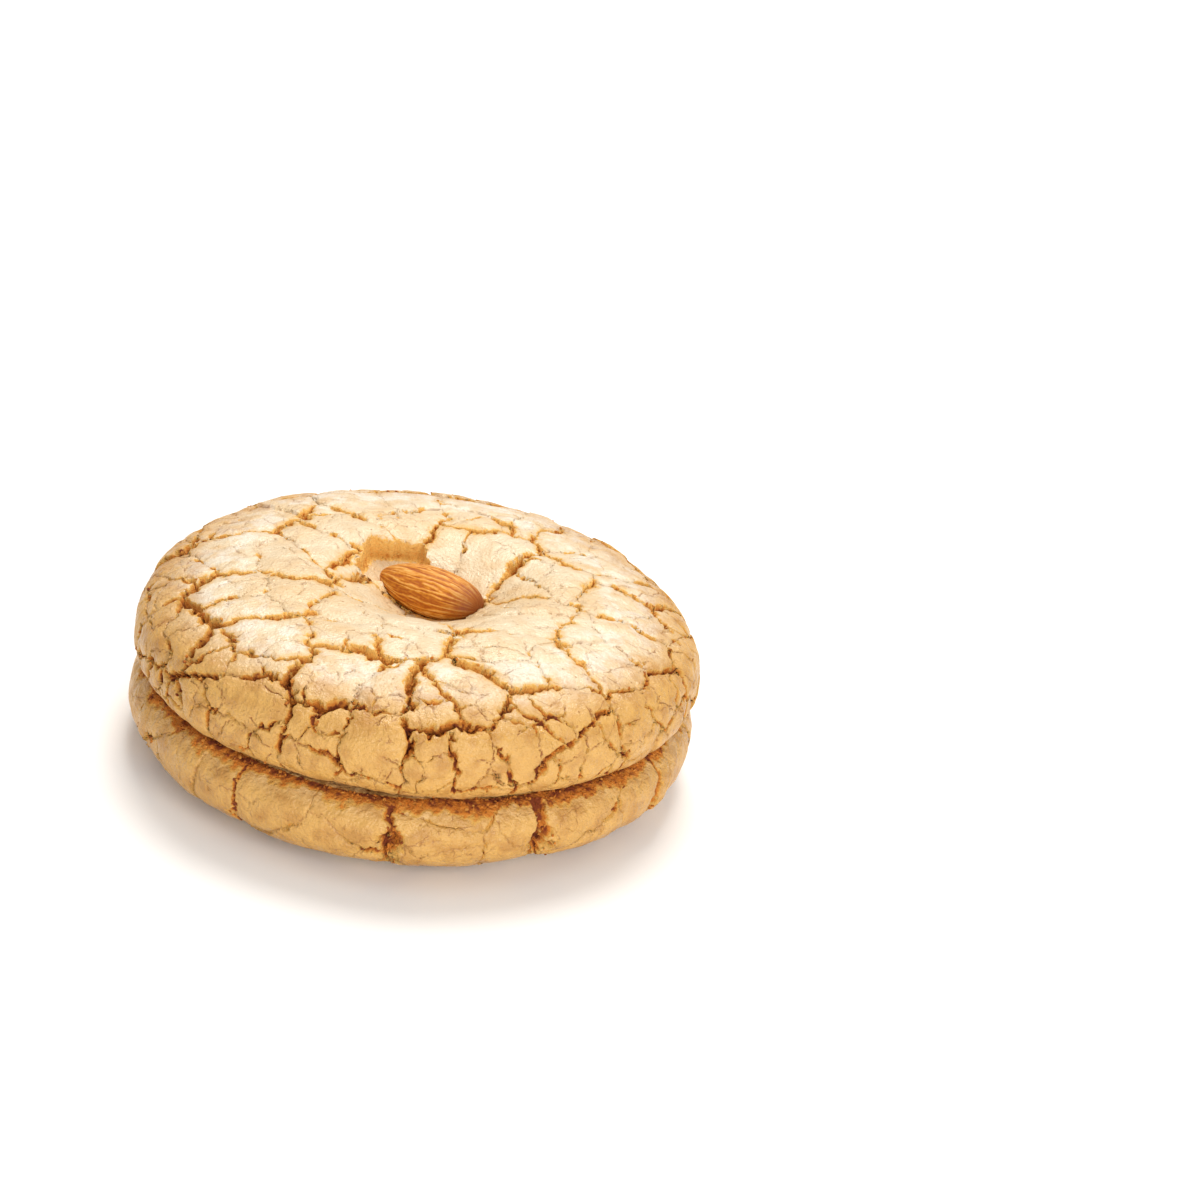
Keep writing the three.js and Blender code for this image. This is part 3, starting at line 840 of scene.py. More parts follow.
def almond_tree():
    sizes = ("Length", "Width", "Thickness", "Bulge", "Blunt Power", "Tip Power", "Ridges", "Ridge Height")
    inputs = [(name, "Float") for name in sizes] + [("Material", "Material")]
    tree, put, given = new_tree("almond_body", inputs)
    steps = {"Segments": ALMOND_SEGMENTS, "Rings": ALMOND_RINGS, "Radius": 1.0}
    shape = put("GeometryNodeMeshUVSphere", steps)
    x, y, z = put("ShaderNodeSeparateXYZ", [put("GeometryNodeInputPosition")]).outputs
    below_top = put(MATH, (z, -0.5, 0.5), operation="MULTIPLY_ADD")
    along = put(MATH, (below_top, 0.0), operation="MAXIMUM")
    around = put(MATH, (y, x), operation="ARCTAN2")
    cosine = put(MATH, [around], operation="COSINE")
    sine = put(MATH, [around], operation="SINE")
    ridge = ridges_on(put, along, around, cosine, sine, given["Ridges"])
    furrow = put(MATH, (ridge, 1.0), operation="SUBTRACT")
    lift = put(MATH, (furrow, given["Ridge Height"]), operation="MULTIPLY")
    girth = girth_of(put, along, given)
    from_middle = put(MATH, (0.5, along), operation="SUBTRACT")
    spans = [put(MATH, (from_middle, given["Length"]), operation="MULTIPLY")]
    for turned, size in ((cosine, "Width"), (sine, "Thickness")):
        reach = put(MATH, (given[size], 0.5, lift), operation="MULTIPLY_ADD")
        across = put(MATH, (girth, turned), operation="MULTIPLY")
        spans.append(put(MATH, (across, reach), operation="MULTIPLY"))
    for name, value in (("ridge", ridge), ("along", along)):
        shape = put("GeometryNodeStoreNamedAttribute", {"Geometry": shape, "Name": name, "Value": value})
    position = put("ShaderNodeCombineXYZ", spans)
    bent = put("GeometryNodeSetPosition", {"Geometry": shape, "Position": position})
    finish_tree(put, put("GeometryNodeSetShadeSmooth", {"Geometry": bent}), given["Material"])
    return tree


almond_body = almond_tree()
print("almond tree of", len(almond_body.nodes), "nodes")

# %% [markdown]
# ### Its place
# The almond lies nearly level in the dimple, turned a little. It is made before the crust, because it
# pressed its own seat. The solids were moved sideways once, so that their box is centred. How far the
# almond lies from its solid tells by how much, and the halves follow.

# %% Almond
ALMOND = Bundle(
    length=21.0, width=11.0, thickness=8.5, widest_at=0.46, blunt_power=0.36, tip_power=0.52,
    centre=(1.1, 3.9, 30.5), yaw=-30, pitch=1, roll=1,
)
almond_skin = bpy.data.materials.new("almond_skin")
turn = Euler((math.radians(ALMOND.roll), math.radians(-ALMOND.pitch), math.radians(ALMOND.yaw)), "XYZ")
lie = Matrix.Translation(ALMOND.centre) @ turn.to_matrix().to_4x4()
almond = grown("almond_kernel", bpy.data.meshes.new("almond_seed"), almond_body, {
    "Length": ALMOND.length, "Width": ALMOND.width, "Thickness": ALMOND.thickness,
    "Bulge": math.log(0.5) / math.log(ALMOND.widest_at),
    "Blunt Power": ALMOND.blunt_power, "Tip Power": ALMOND.tip_power,
    "Ridges": float(RIDGES), "Ridge Height": RIDGE_HEIGHT, "Material": almond_skin,
}, lie)
almond_points = [v.co for v in almond.data.vertices]
almond_bvh = BVHTree.FromPolygons(almond_points, [p.vertices for p in almond.data.polygons])
almond_low = np.array([min(p[k] for p in almond_points) for k in range(3)])
almond_high = np.array([max(p[k] for p in almond_points) for k in range(3)])
cad_low, cad_high = (np.array(corner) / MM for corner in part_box("almond"))
AXIS = (cad_low + cad_high - almond_low - almond_high) / 2 * [1, 1, 0]
print("almond in mm:", np.round(almond_high - almond_low, 2), "solid:", np.round(cad_high - cad_low, 2))
print("axis of the halves at", np.round(AXIS, 3), "mm")

# %% [markdown]
# ## The hollow behind the almond
# Behind the almond the crust gave way and left a hollow with a steep broken wall, five-sided more than
# round. It could be cut with a boolean, which would leave long thin faces. Instead it gets its own rows of
# points, closer together towards its brink, where the bowl below them is steepest.

# %% Points of the hollow
HOLLOW = Bundle(x=-5.4, y=10.3, z=32.4, radius=7.7, deep=4.1)  # z is the height of its brink
HOLLOW_SIDES = 5
HOLLOW_TURN = math.radians(65)
HOLLOW_CORNERS = 1.1  # how far the corners reach, as a share of its radius
HOLLOW_RAGGED = [(0.03, 11, 2.4), (0.02, 23, 0)]  # share, waves round it, phase
HOLLOW_ROWS = 18
HOLLOW_STEPS = 160


def hollow_reach(angle):
    part = np.pi / HOLLOW_SIDES
    straight = np.cos(part) / np.cos((angle - HOLLOW_TURN) % (2 * part) - part)
    ragged = sum(share * np.sin(waves * angle + phase) for share, waves, phase in HOLLOW_RAGGED)
    return HOLLOW.radius * (HOLLOW_CORNERS * straight + ragged)


def hollow_points(half):
    angles = np.linspace(0, 2 * np.pi, HOLLOW_STEPS, endpoint=False)
    rows = np.sqrt(1 - (np.arange(HOLLOW_ROWS) / HOLLOW_ROWS) ** 2)
    turned, share = np.meshgrid(angles, rows)
    out = (hollow_reach(turned) * share).ravel()
    x, y = HOLLOW.x + out * np.cos(turned.ravel()), HOLLOW.y + out * np.sin(turned.ravel())
    reach, radii, _ = half.profile
    azimuth = np.arctan2(x, -y)
    radius = np.hypot(x, y) / lobes_at(half, azimuth)
    distance = np.interp(radius, radii[: PROFILE_STEPS + 1], reach[: PROFILE_STEPS + 1])
    uv = np.stack([distance * np.sin(azimuth), -distance * np.cos(azimuth)], -1)
    middles = np.array([half.lines.uv[ids].mean(0) for ids in half.lines.outlines])
    return points_at(uv, cell=nearest(middles, uv)[1], rank=IN_HOLLOW)


UPPER.groups.append(hollow_points(UPPER))
print(HOLLOW_ROWS * HOLLOW_STEPS, "points in the hollow")

# %% [markdown]
# ## Weaving
# Delaunay triangulation joins points on a flat map into well-shaped triangles, so the map is woven before
# it is rolled up. Where cracks meet, points of one would lie in the other and tangle, so they are dropped
# first. The same search tells how far each point is from crumb, because a brink toasts more than the middle
# of a plate.

# %% Drop what tangles
HOLLOW_CLEAR = 0.3  # other points keep this far from those of the hollow
PLATE_MARGIN = 0.25  # and points of plates this far from the last row beside a crack
ROW_SLACK = 0.8  # a row may come this share of its offset near to a crack of its own rank
TOAST_REACH = 1.7  # toasting fades over this distance from crumb
HEALED = 3  # a closed crack counts as so much further away


def untangled(half, points):
    lines = half.lines
    in_hollow = points.rank == IN_HOLLOW
    pinned = in_hollow | ((points.rank == RANK["rim"]) & (points.offset == 0))
    margin = np.where(points.rank == ON_PLATE, BEYOND_BRINK[1] + PLATE_MARGIN, 0)
    keep = np.ones(len(points.place), bool)
    to_brink = np.full(len(points.place), np.inf)
    to_crumb = to_brink.copy()
    for kind, order in RANK.items():
        on_kind = np.flatnonzero(lines.rank == order)
        away, found = nearest(lines.uv[on_kind], points.place)
        width = lines.half_width[on_kind][found]
        room = np.where(points.rank == order, ROW_SLACK * points.offset, width + margin)
        keep &= pinned | (away >= room)
        if kind != "fine":
            from_brink = np.maximum(away - width, 0)
            to_brink = np.minimum(to_brink, from_brink)
            to_crumb = np.minimum(to_crumb, from_brink + HEALED * (1 - lines.broken[on_kind][found]))
    if in_hollow.any():
        keep &= in_hollow | (nearest(points.place[in_hollow], points.place)[0] > HOLLOW_CLEAR)
    points.to_brink = to_brink
    points.toasted = np.clip(1 - to_crumb / TOAST_REACH, 0, 1)
    return part_of(points, keep)


for half in (UPPER, LOWER):
    points = joined(half.groups)
    half.points = untangled(half, points)
    print(len(half.points.place), "of", len(points.place), "points kept")

# %% [markdown]
# ### Triangles
# Left alone, the triangles would cut across the hollow's rows and make its wall jagged. So the rows are
# handed over as lines that have to stay.

# %% Weave
MERGE = 1e-7  # points closer than this become one


def woven(points):
    rows = np.flatnonzero(points.rank == IN_HOLLOW).reshape(-1, HOLLOW_STEPS)
    kept_lines = np.stack([rows, np.roll(rows, -1, 1)], -1).reshape(-1, 2).tolist()
    corners = [Vector(p) for p in points.place.tolist()]
    _, _, triangles, origin, _, _ = delaunay_2d_cdt(corners, kept_lines, [], 0, MERGE, True)
    return part_of(points, [ids[0] for ids in origin]), np.array(triangles)


for half in (UPPER, LOWER):
    half.points, half.faces = woven(half.points)
    print(len(half.faces), "triangles woven")

# %% [markdown]
# ## Plates that stand
# Plates that all lay in one smooth dome would look printed on. Each plate stands a little high, low or
# aslant, and swells from its brinks to its middle, as a skin does that was pushed up from below. Cracks
# sink between.

# %% Lift of the plates
PLATE_STAND = 0.2  # how high or low a plate can stand
PLATE_TILT = 0.02  # millimetres in each millimetre
PLATE_RISE = 0.26  # how far its middle swells
SWELL_REACH = 2.6  # a plate is at its full rise this far from its brink


def lift_of(half, points):
    rng = np.random.default_rng(half.seed + 5)
    plate = np.array(half.owners)[points.cell]
    many = half.owners[-1] + 1
    held = np.bincount(plate, minlength=many)
    middle = np.stack([np.bincount(plate, points.place[:, k], many) / held for k in (0, 1)], -1)
    stand = PLATE_STAND * rng.uniform(-1, 1, many)
    tilt = PLATE_TILT * rng.normal(size=(many, 2))
    points.tone = rng.uniform(0, 1, many)[plate]
    level = points.fade * (stand[plate] + ((points.place - middle[plate]) * tilt[plate]).sum(1))
    swell = PLATE_RISE * points.fade * (1 - (1 - np.clip(points.to_brink / SWELL_REACH, 0, 1)) ** 2)
    held_up = np.where(points.rank == RANK["fine"], 1, 1 - points.sunk)
    return held_up * (level + swell) - points.sunk * points.depth


for half in (UPPER, LOWER):
    half.lift = lift_of(half, half.points)
    print("lift in mm from", round(half.lift.min(), 2), "to", round(half.lift.max(), 2))

# %% [markdown]
# ## The torn foot
# Next to its base the lower half rose as it baked, and the skin tore off in a ragged band of crumb, which
# shows under the seam. The band is only marked here, as crumb. Close to the base it is made deeper in
# crumb, so darker: painted shade under the seam. Grains will stand in it later.

# %% Crumb of the foot
FOOT = (4.3, 3.1)  # the band fades out between these distances from the base
FOOT_RAGGED = [(1.5, 11, 2), (0.9, 3.1, 4)]  # reach, wavelength, phase
# The second value is painted shade: more crumb, so a darker band, close to the base under the seam.
FOOT_CRUMB_AND_SEAM_SHADE = (0.6, 0.25)  # how deep in crumb it is, and how much deeper close to the base
FOOT_SEAM_SHADE = (2.2, 1.5)  # deeper from this distance on, over so much
FOOT_BORDER = 0.3  # it fades to nothing this close to the edge of the base


def tear_foot(half):
    uv = half.points.place
    to_base = half.length - np.hypot(*uv.T)
    ragged = to_base + sum(reach * drift(uv, wave, phase) for reach, wave, phase in FOOT_RAGGED)
    band = np.clip((FOOT[0] - ragged) / (FOOT[0] - FOOT[1]), 0, 1)
    # painted shade: deeper crumb, so darker, towards the base under the seam
    deep = FOOT_CRUMB_AND_SEAM_SHADE[0] + FOOT_CRUMB_AND_SEAM_SHADE[1] * np.clip((FOOT_SEAM_SHADE[0] - ragged) / FOOT_SEAM_SHADE[1], 0, 1)
    torn = deep * band * np.clip(to_base / FOOT_BORDER, 0, 1)
    half.points.crumb = np.maximum(half.points.crumb, torn)


tear_foot(LOWER)
print(round(100 * (LOWER.points.crumb > 0.5).mean()), "% of the lower half's points are crumb")

# %% [markdown]
# ## Rolling up
# The woven map goes back onto the dome, lifted along the skin's own normal. Its open edge is the edge of
# the base, and a fan of faces to the middle closes it, so that each half is a closed skin.

# %% Roll up and close
AT_RIM = 1e-3  # a point this close to the map's edge is on it


def rolled_up(half):
    points, uv = half.points, half.points.place
    place = skin_point(half, uv) + half.lift[:, None] * skin_normal(half, uv)
    place[:, 2] = np.minimum(place[:, 2], half.flat_top)
    distance = np.hypot(*uv.T)
    points.side = distance / half.length
    rim = np.flatnonzero((points.rank == RANK["rim"]) & (distance > half.length - AT_RIM))
    rim = rim[np.argsort(np.arctan2(uv[rim, 1], uv[rim, 0]))]
    base = np.stack([np.roll(rim, -1), rim, np.full_like(rim, len(place))], -1)
    middle = Bundle(**{name: np.zeros_like(column[:1]) for name, column in vars(points).items()})
    middle.tone = np.array([0.5])
    middle.side = np.array([1])
    half.points = joined([points, middle])
    return np.concatenate([place, [[0, 0, 0]]]), np.concatenate([half.faces, base])


for half in (UPPER, LOWER):
    half.place, half.faces = rolled_up(half)
    print("crust of", len(half.place), "points and", len(half.faces), "faces")

# %% [markdown]
# ## Stacking the halves, and the almond's seat
# The lower half is turned over, the upper one stands on it, and the hollow is sunk. Then the almond is
# seated: as it was pressed in, soft crust rose round it in a low collar. A boolean would leave the crust in
# contact with the almond. A ray straight up finds its underside instead, and the crust stays just short of
# it.

# %% Hollow and seat
ON_BRINK = 1.0001  # the brink's own row is cut too, in spite of rounding
HOLLOW_BRINK = 0.9  # from this share of the way out the wall curves up to the brink
HOLLOW_WALL = (0.74, 0.12)  # torn wall from this share of the way out, fully after so much more
# The hollow's wall crumb is partly painted shade: most of it low on the wall, so darker there than at the
# brink.
HOLLOW_CRUMB_AND_SHADE = (0.6, 0.35)  # crumb on the wall, and how much less at the brink
HOLLOW_SKIN = 0.25  # where less than this was cut away, the skin is whole
SEAT_GAP = 0.12
SEAT_CRUMB = 0.45
COLLAR_RISE = 0.45
COLLAR_REACH = 2.0


def open_hollow(place, crumb):
    x, y = place[:, 0] - HOLLOW.x, place[:, 1] - HOLLOW.y
    away = np.hypot(x, y) / hollow_reach(np.arctan2(y, x))
    bowl = HOLLOW.z - HOLLOW.deep * np.sqrt(np.clip(1 - away**2, 0, 1))
    gone = place[:, 2] - bowl
    cut = (away < ON_BRINK) & (gone > 0)
    brink = np.clip((away[cut] - HOLLOW_BRINK) / (1 - HOLLOW_BRINK), 0, 1)
    place[cut, 2] = bowl[cut] + gone[cut] * brink**2
    torn = np.clip((away[cut] - HOLLOW_WALL[0]) / HOLLOW_WALL[1], 0, 1)
    # painted shade: the wall is coloured darkest low down, paler towards the brink
    wall = torn * (HOLLOW_CRUMB_AND_SHADE[0] - HOLLOW_CRUMB_AND_SHADE[1] * brink)
    crumb[cut] = np.where(gone[cut] > HOLLOW_SKIN, wall, crumb[cut])


def press_seat(place, crumb):
    low, high = almond_low[:2] - COLLAR_REACH, almond_high[:2] + COLLAR_REACH
    near = np.all((place[:, :2] > low) & (place[:, :2] < high), axis=1)
    for i in np.flatnonzero(near):
        x, y, z = place[i]
        away = almond_bvh.find_nearest(Vector((x, y, z)))[3]
        place[i, 2] += COLLAR_RISE * max(0, 1 - away / COLLAR_REACH)
        hit = almond_bvh.ray_cast(Vector((x, y, 0)), Vector((0, 0, 1)))[0]
        if hit:
            place[i, 2] = min(place[i, 2], hit.z - SEAT_GAP)
            crumb[i] = SEAT_CRUMB


LOWER.place = LOWER.place * [1, -1, -1] + [0, 0, LOWER.flat_top]
UPPER.place[:, 2] += LOWER.flat_top + SEAM_GAP
open_hollow(UPPER.place, UPPER.points.crumb)
press_seat(UPPER.place, UPPER.points.crumb)
print("the two halves stand", round(UPPER.place[:, 2].max(), 2), "mm high")

# %% [markdown]
# ### Meshes
# Each half becomes a Blender mesh, in metres. What the finish will need goes along as attributes of its
# points: how deep in crumb, on a hairline, or toasted a point is, its plate's tone, and how far down the
# side it lies.

# %% Crust meshes
CRUST_VALUES = ("crumb", "hair", "toasted", "tone", "side")


def crust_mesh(name, half):
    place, faces = (half.place + AXIS) * MM, half.faces
    mesh = bpy.data.meshes.new(name)
    mesh.vertices.add(len(place))
    mesh.vertices.foreach_set("co", np.asarray(place, np.float32).ravel())
    mesh.loops.add(faces.size)
    mesh.loops.foreach_set("vertex_index", faces.ravel().astype(np.int32))
    mesh.polygons.add(len(faces))
    mesh.polygons.foreach_set("loop_start", np.arange(0, faces.size, 3, dtype=np.int32))
    mesh.update(calc_edges=True)
    for key in CRUST_VALUES:
        values = np.asarray(getattr(half.points, key), np.float32)
        mesh.attributes.new(key, "FLOAT", "POINT").data.foreach_set("value", values)
    mesh.shade_smooth()
    return mesh


upper_mesh = crust_mesh("upper_plates", UPPER)
lower_mesh = crust_mesh("lower_plates", LOWER)
print("crust meshes with", *CRUST_VALUES)

# %% [markdown]
# ## The crust's finish
# Macaroon crust is egg white and sugar that dried to a thin skin over ground almond. Whole, it is pale,
# smooth and faintly glossy, like eggshell. Nearer the tray it browned. Where it broke, crumb shows, rough,
# matt and golden, and it is coloured darker the deeper it lies, as painted shade in the cracks. A picture
# could be wrapped round it, but nodes can ask the mesh what each place is, from the attributes that its
# points carry. The patterns are noises with sizes in millimetres.

# %% Patterns of the crust
PATTERNS = {  # size in millimetres, and how many rounds of finer detail
    "patches": (13, 2),  # where the oven was hotter
    "mottle": (3.2, 3),  # browning and gloss of the skin
    "wrinkles": (1.1, 3),
    "grain": (0.5, 2),  # ground almond is about 0.3 mm, which is too fine to show, so it is drawn coarser
    "pits": (1.5, 2),
    "stains": (3.5, 4),
    "bends": (2.2, 4),
}
CRUST_IOR = 1.5  # sugar is 1.54 and dried egg white a little less
crust_finish = bpy.data.materials.new("baked_macaroon_crust")
crust_finish.use_nodes = True
crust_nodes = crust_finish.node_tree
crust_shader = crust_nodes.nodes["Principled BSDF"]
crust_shader.inputs["IOR"].default_value = CRUST_IOR
put = partial(add, crust_nodes)
place = put("ShaderNodeTexCoord").outputs["Object"]
crumb, hair, toasted, tone, side = (
    put(ATTRIBUTE, attribute_name=key).outputs["Fac"] for key in CRUST_VALUES
)
patches, mottle, wrinkles, grain, pits, stains, bends = (
    put(NOISE, {"Vector": place, "Scale": 1 / (size * MM), "Detail": float(detail)})
    for size, detail in PATTERNS.values()
)
down_side = put(MAP, (side, 0.5, 0.72), **SMOOTH)  # shares of the way from the top of the dome to the base
print("patterns in mm:", {name: size for name, (size, _) in PATTERNS.items()})

# %% [markdown]
# ### Whole skin
# The crown is cream with warmer patches. Its brow, where the dome begins to fall, gets near-white
# blotches: painted sheen, standing in for the satin highlight there. Further down, the skin is tan, and
# it pales again where it tucks under. Each of these is a ring round the cookie, so all are mixed in by how
# far down the side a point lies.

# %% Colours of the whole skin
PLATE_CREAM = "#e3cfad"
PLATE_BLUSH = "#e0c499"
# painted sheen: near-white blotches on the brow stand in for the satin highlight there
PLATE_PAINTED_SHEEN = "#efe6d4"
PLATE_SIDE = "#d09f52"
PLATE_LIP = "#dfb980"

blushed = put(MAP, (patches, 0.35, 0.65), **SMOOTH)
skin = put(MIX, {0: blushed, 6: linear(PLATE_CREAM), 7: linear(PLATE_BLUSH)}, **COLOUR)
brow_begins = put(MAP, (side, 0.42, 0.52), **SMOOTH)
brow_ends = put(MAP, (side, 0.72, 0.6), **SMOOTH)
brow = put(MATH, (brow_begins, brow_ends), operation="MULTIPLY")
blotched = put(MAP, (stains, 0.4, 0.6, 0.0, 0.8), **SMOOTH)
# The first ring is painted sheen on the brow.
rings = [
    (put(MATH, (brow, blotched), operation="MULTIPLY"), PLATE_PAINTED_SHEEN),
    (put(MAP, (side, 0.56, 0.76), **SMOOTH), PLATE_SIDE),
    (put(MAP, (side, 0.9, 0.97), **SMOOTH), PLATE_LIP),
]
for share, colour in rings:
    skin = put(MIX, {0: share, 6: skin, 7: linear(colour)}, **COLOUR)
print("skin from", PLATE_CREAM, "to", PLATE_SIDE)

# %% [markdown]
# ### Toasted places
# Heat browns a crust unevenly: in specks and wrinkles all over, along the brinks of open cracks, and in
# blotches low on the sides. One colour noise could be laid over everything, but these follow the shape, so
# each is tied to what it follows.

# %% Browning of the skin
TOASTED = "#c5924b"
PLATE_EDGE = "#dcad62"
BROWNED = "#b27c36"

toast = put(MATH, (tone, 0.14, put(MAP, (mottle, 0.42, 0.72, 0.0, 0.5), **SMOOTH)), operation="MULTIPLY_ADD")
for pattern, begins, full, most in ((wrinkles, 0.5, 0.75, 0.25), (grain, 0.5, 0.72, 0.3)):
    specks = put(MAP, (pattern, begins, full, 0.0, most), **SMOOTH)
    toast = put(MATH, (toast, specks), operation="ADD")
hotter = put(MAP, (side, 0.45, 0.7, 0.45, 1.0), **SMOOTH)
frayed = put(MATH, (wrinkles, 0.9, -0.45), operation="MULTIPLY_ADD")
brink = put(MAP, (put(MATH, (toasted, frayed), operation="ADD"), 0.25, 0.9, 0.0, 0.6), **SMOOTH)
less_below = put(MAP, (down_side, 0.0, 1.0, 1.0, 0.35), **SMOOTH)
blotches = put(MAP, (stains, 0.42, 0.7, 0.0, 0.75), **SMOOTH)
for amount, where, colour in (
    (toast, hotter, TOASTED), (brink, less_below, PLATE_EDGE), (down_side, blotches, BROWNED),
):
    share = put(MATH, (amount, where), operation="MULTIPLY")
    skin = put(MIX, {0: share, 6: skin, 7: linear(colour)}, **COLOUR)
print("browned with", TOASTED, PLATE_EDGE, BROWNED)

# %% [markdown]
# ### Hairlines
# Cracks that closed again are brown hairlines along the mesh's own lines, and finer crazing lies between
# them, in patches. Its Voronoi edges would be straight, so the place is bent by a noise first. Real crazing
# and pores are about a tenth of a millimetre wide. They are drawn two to four times as wide, because they
# wouldn't show otherwise.

# %% Hairlines
HAIRLINE = "#8a4a12"
CRAZE_SIZE = 7.0  # millimetres between lines
CRAZE_BEND = 2.6  # millimetres that a line can stray

bent = put(VECTOR_MATH, (bends.outputs["Color"], (CRAZE_BEND * MM,) * 3, place), operation="MULTIPLY_ADD")
crazing = put(VORONOI, {"Vector": bent, "Scale": 1 / (CRAZE_SIZE * MM)}, feature="DISTANCE_TO_EDGE")
in_patches = put(MAP, (patches, 0.44, 0.56), **SMOOTH)
in_dashes = put(MAP, (pits, 0.4, 0.55), **SMOOTH)
crazed = put(MATH, (in_patches, in_dashes), operation="MULTIPLY")
crazed = put(MATH, (crazed, put(MAP, (crazing, 0.024, 0.004, 0.0, 0.5), **SMOOTH)), operation="MULTIPLY")
healed = put(MATH, (hair, put(MAP, (pits, 0.36, 0.5, 0.1, 0.95), **SMOOTH)), operation="MULTIPLY")
hairline = put(MATH, (crazed, healed), operation="MAXIMUM")
browner = put(MAP, (down_side, 0.0, 1.0, 0.62, 1.0), **SMOOTH)
hairline = put(MATH, (hairline, browner), operation="MULTIPLY")
skin = put(MIX, {0: hairline, 6: skin, 7: linear(HAIRLINE)}, **COLOUR)
print("crazing every", CRAZE_SIZE, "mm")

# %% [markdown]
# ### Pores
# Bubbles in the batter burst at the skin and left brown specks. They could be grains of a noise, but those
# run together. A Voronoi texture keeps them apart, and its random colour picks the few cells that have one.

# %% Pores
SPECK = "#a8682c"
PORE_SHARE = 0.6  # how much of the skin's colour a pore takes over
PORE_GAP = 1.6  # millimetres between the places where a pore can be

cells = put(VORONOI, {"Vector": place, "Scale": 1 / (PORE_GAP * MM)})
drawn = put("ShaderNodeSeparateXYZ", [cells.outputs["Color"]]).outputs[0]
chosen = put(MAP, (put(MATH, (drawn, patches), operation="ADD"), 1.2, 1.26), **SMOOTH)
pore = put(MATH, (put(MAP, (cells, 0.16, 0.08), **SMOOTH), chosen), operation="MULTIPLY")
share = put(MATH, (pore, PORE_SHARE), operation="MULTIPLY")
skin = put(MIX, {0: share, 6: skin, 7: linear(SPECK)}, **COLOUR)
print("pores at most every", PORE_GAP, "mm")

# %% [markdown]
# ### Torn crumb
# Inside a crack light falls on broken sugar and almond. Its colour goes from gold at the brink to honey on
# the wall and amber at the bottom: the crumb is golden, and the darkening with depth is painted shade. Down
# the sides each is darker, because it baked longer there, and the darkest there is both browned and painted
# shade. Pits and grains break up the change from one to the next, and "crumb" says how deep a place lies,
# so it sets the painted shade too.

# %% Colours of the crumb
# From brink to bottom each colour is darker: painted shade in the cracks, besides browning down the sides.
CRUMB_GOLD = "#e8b45e"
CRUMB_TAN = "#cf9c4a"
CRUMB_HONEY = "#d89b44"
CRUMB_AMBER = "#c67620"
CRUMB_BROWNED_AND_SHADED = "#783206"

torn = put(MATH, (crumb, put(MATH, (grain, 0.5, -0.25), operation="MULTIPLY_ADD")), operation="ADD")
pits_and_depth_shade = put(MATH, (crumb, put(MATH, (pits, 1.4, -0.7), operation="MULTIPLY_ADD")), operation="ADD")
brink, wall, bottom = (
    put(MIX, {0: down_side, 6: linear(on_crown), 7: linear(on_side)}, **COLOUR)
    for on_crown, on_side in ((CRUMB_GOLD, CRUMB_TAN), (CRUMB_HONEY, CRUMB_AMBER), (CRUMB_AMBER, CRUMB_BROWNED_AND_SHADED))
)
inside = put(MIX, {0: put(MAP, (torn, 0.3, 0.65), **SMOOTH), 6: brink, 7: wall}, **COLOUR)
# painted shade: the deeper in crumb a place is, the more it takes of the dark bottom colour
inside = put(MIX, {0: put(MAP, (pits_and_depth_shade, 0.55, 0.95), **SMOOTH), 6: inside, 7: bottom}, **COLOUR)
broken = put(MAP, (torn, 0.08, 0.3), **SMOOTH)
colour = put(MIX, {0: broken, 6: skin, 7: inside}, **COLOUR)
crust_nodes.links.new(colour.outputs["Result"], crust_shader.inputs["Base Color"])
print("crumb from", CRUMB_GOLD, "to", CRUMB_BROWNED_AND_SHADED)

# %% [markdown]
# ### Gloss and fine grain
# Sugar skin is satin, at a roughness of 0.3 to 0.5, and crumb is nearly matt. What is finer than the mesh,
# the wrinkles of the skin, its hairlines and pores and the grain of the crumb, is left to a bump of some
# tenths of a millimetre. The shapes that show at the outline are all in the mesh.

# %% Gloss and bump
SKIN_ROUGHNESS = (0.28, 0.5)
CRUMB_ROUGHNESS = 0.88
LINE_DEPTH = -0.08  # all bump heights are in millimetres
MOTTLE_HEIGHT = 0.2
WRINKLE_HEIGHT = (0.2, 0.48)  # on the crown, down the side
GRAIN_HEIGHT = (0.26, 0.5)  # on skin, on crumb

gloss = put(MAP, (mottle, 0.3, 0.7, *SKIN_ROUGHNESS), **SMOOTH)
roughness = put(MIX, {0: broken, 2: gloss, 3: CRUMB_ROUGHNESS})
crust_nodes.links.new(roughness.outputs["Result"], crust_shader.inputs["Roughness"])
sunk = put(MATH, (put(MATH, (pore, hairline), operation="ADD"), LINE_DEPTH), operation="MULTIPLY")
waves = put(MATH, (mottle, MOTTLE_HEIGHT, sunk), operation="MULTIPLY_ADD")
wrinkle_height = put(MAP, (side, 0.5, 0.75, *WRINKLE_HEIGHT), **SMOOTH)
creased = put(MATH, (wrinkles, wrinkle_height, waves), operation="MULTIPLY_ADD")
centred = put(MATH, (grain, 0.5), operation="SUBTRACT")
grain_height = put(MAP, (broken, 0.0, 1.0, *GRAIN_HEIGHT), **SMOOTH)
height = put(MATH, (centred, grain_height, creased), operation="MULTIPLY_ADD")
bump = put("ShaderNodeBump", {"Height": height, "Distance": MM})
crust_nodes.links.new(bump.outputs["Normal"], crust_shader.inputs["Normal"])
print("crust finish of", len(crust_nodes.nodes), "nodes")

# %% [markdown]
# ## Relief of the crust
# A baked skin isn't smooth between its cracks: it has low lumps where it was piped, swells in waves, and
# its crumb is grainy. All of that follows the surface, so a Geometry Nodes tree pushes each point along its
# normal by three noises. Crumb gets the grainy one in place of the waves. Nothing is pushed below the
# floor.


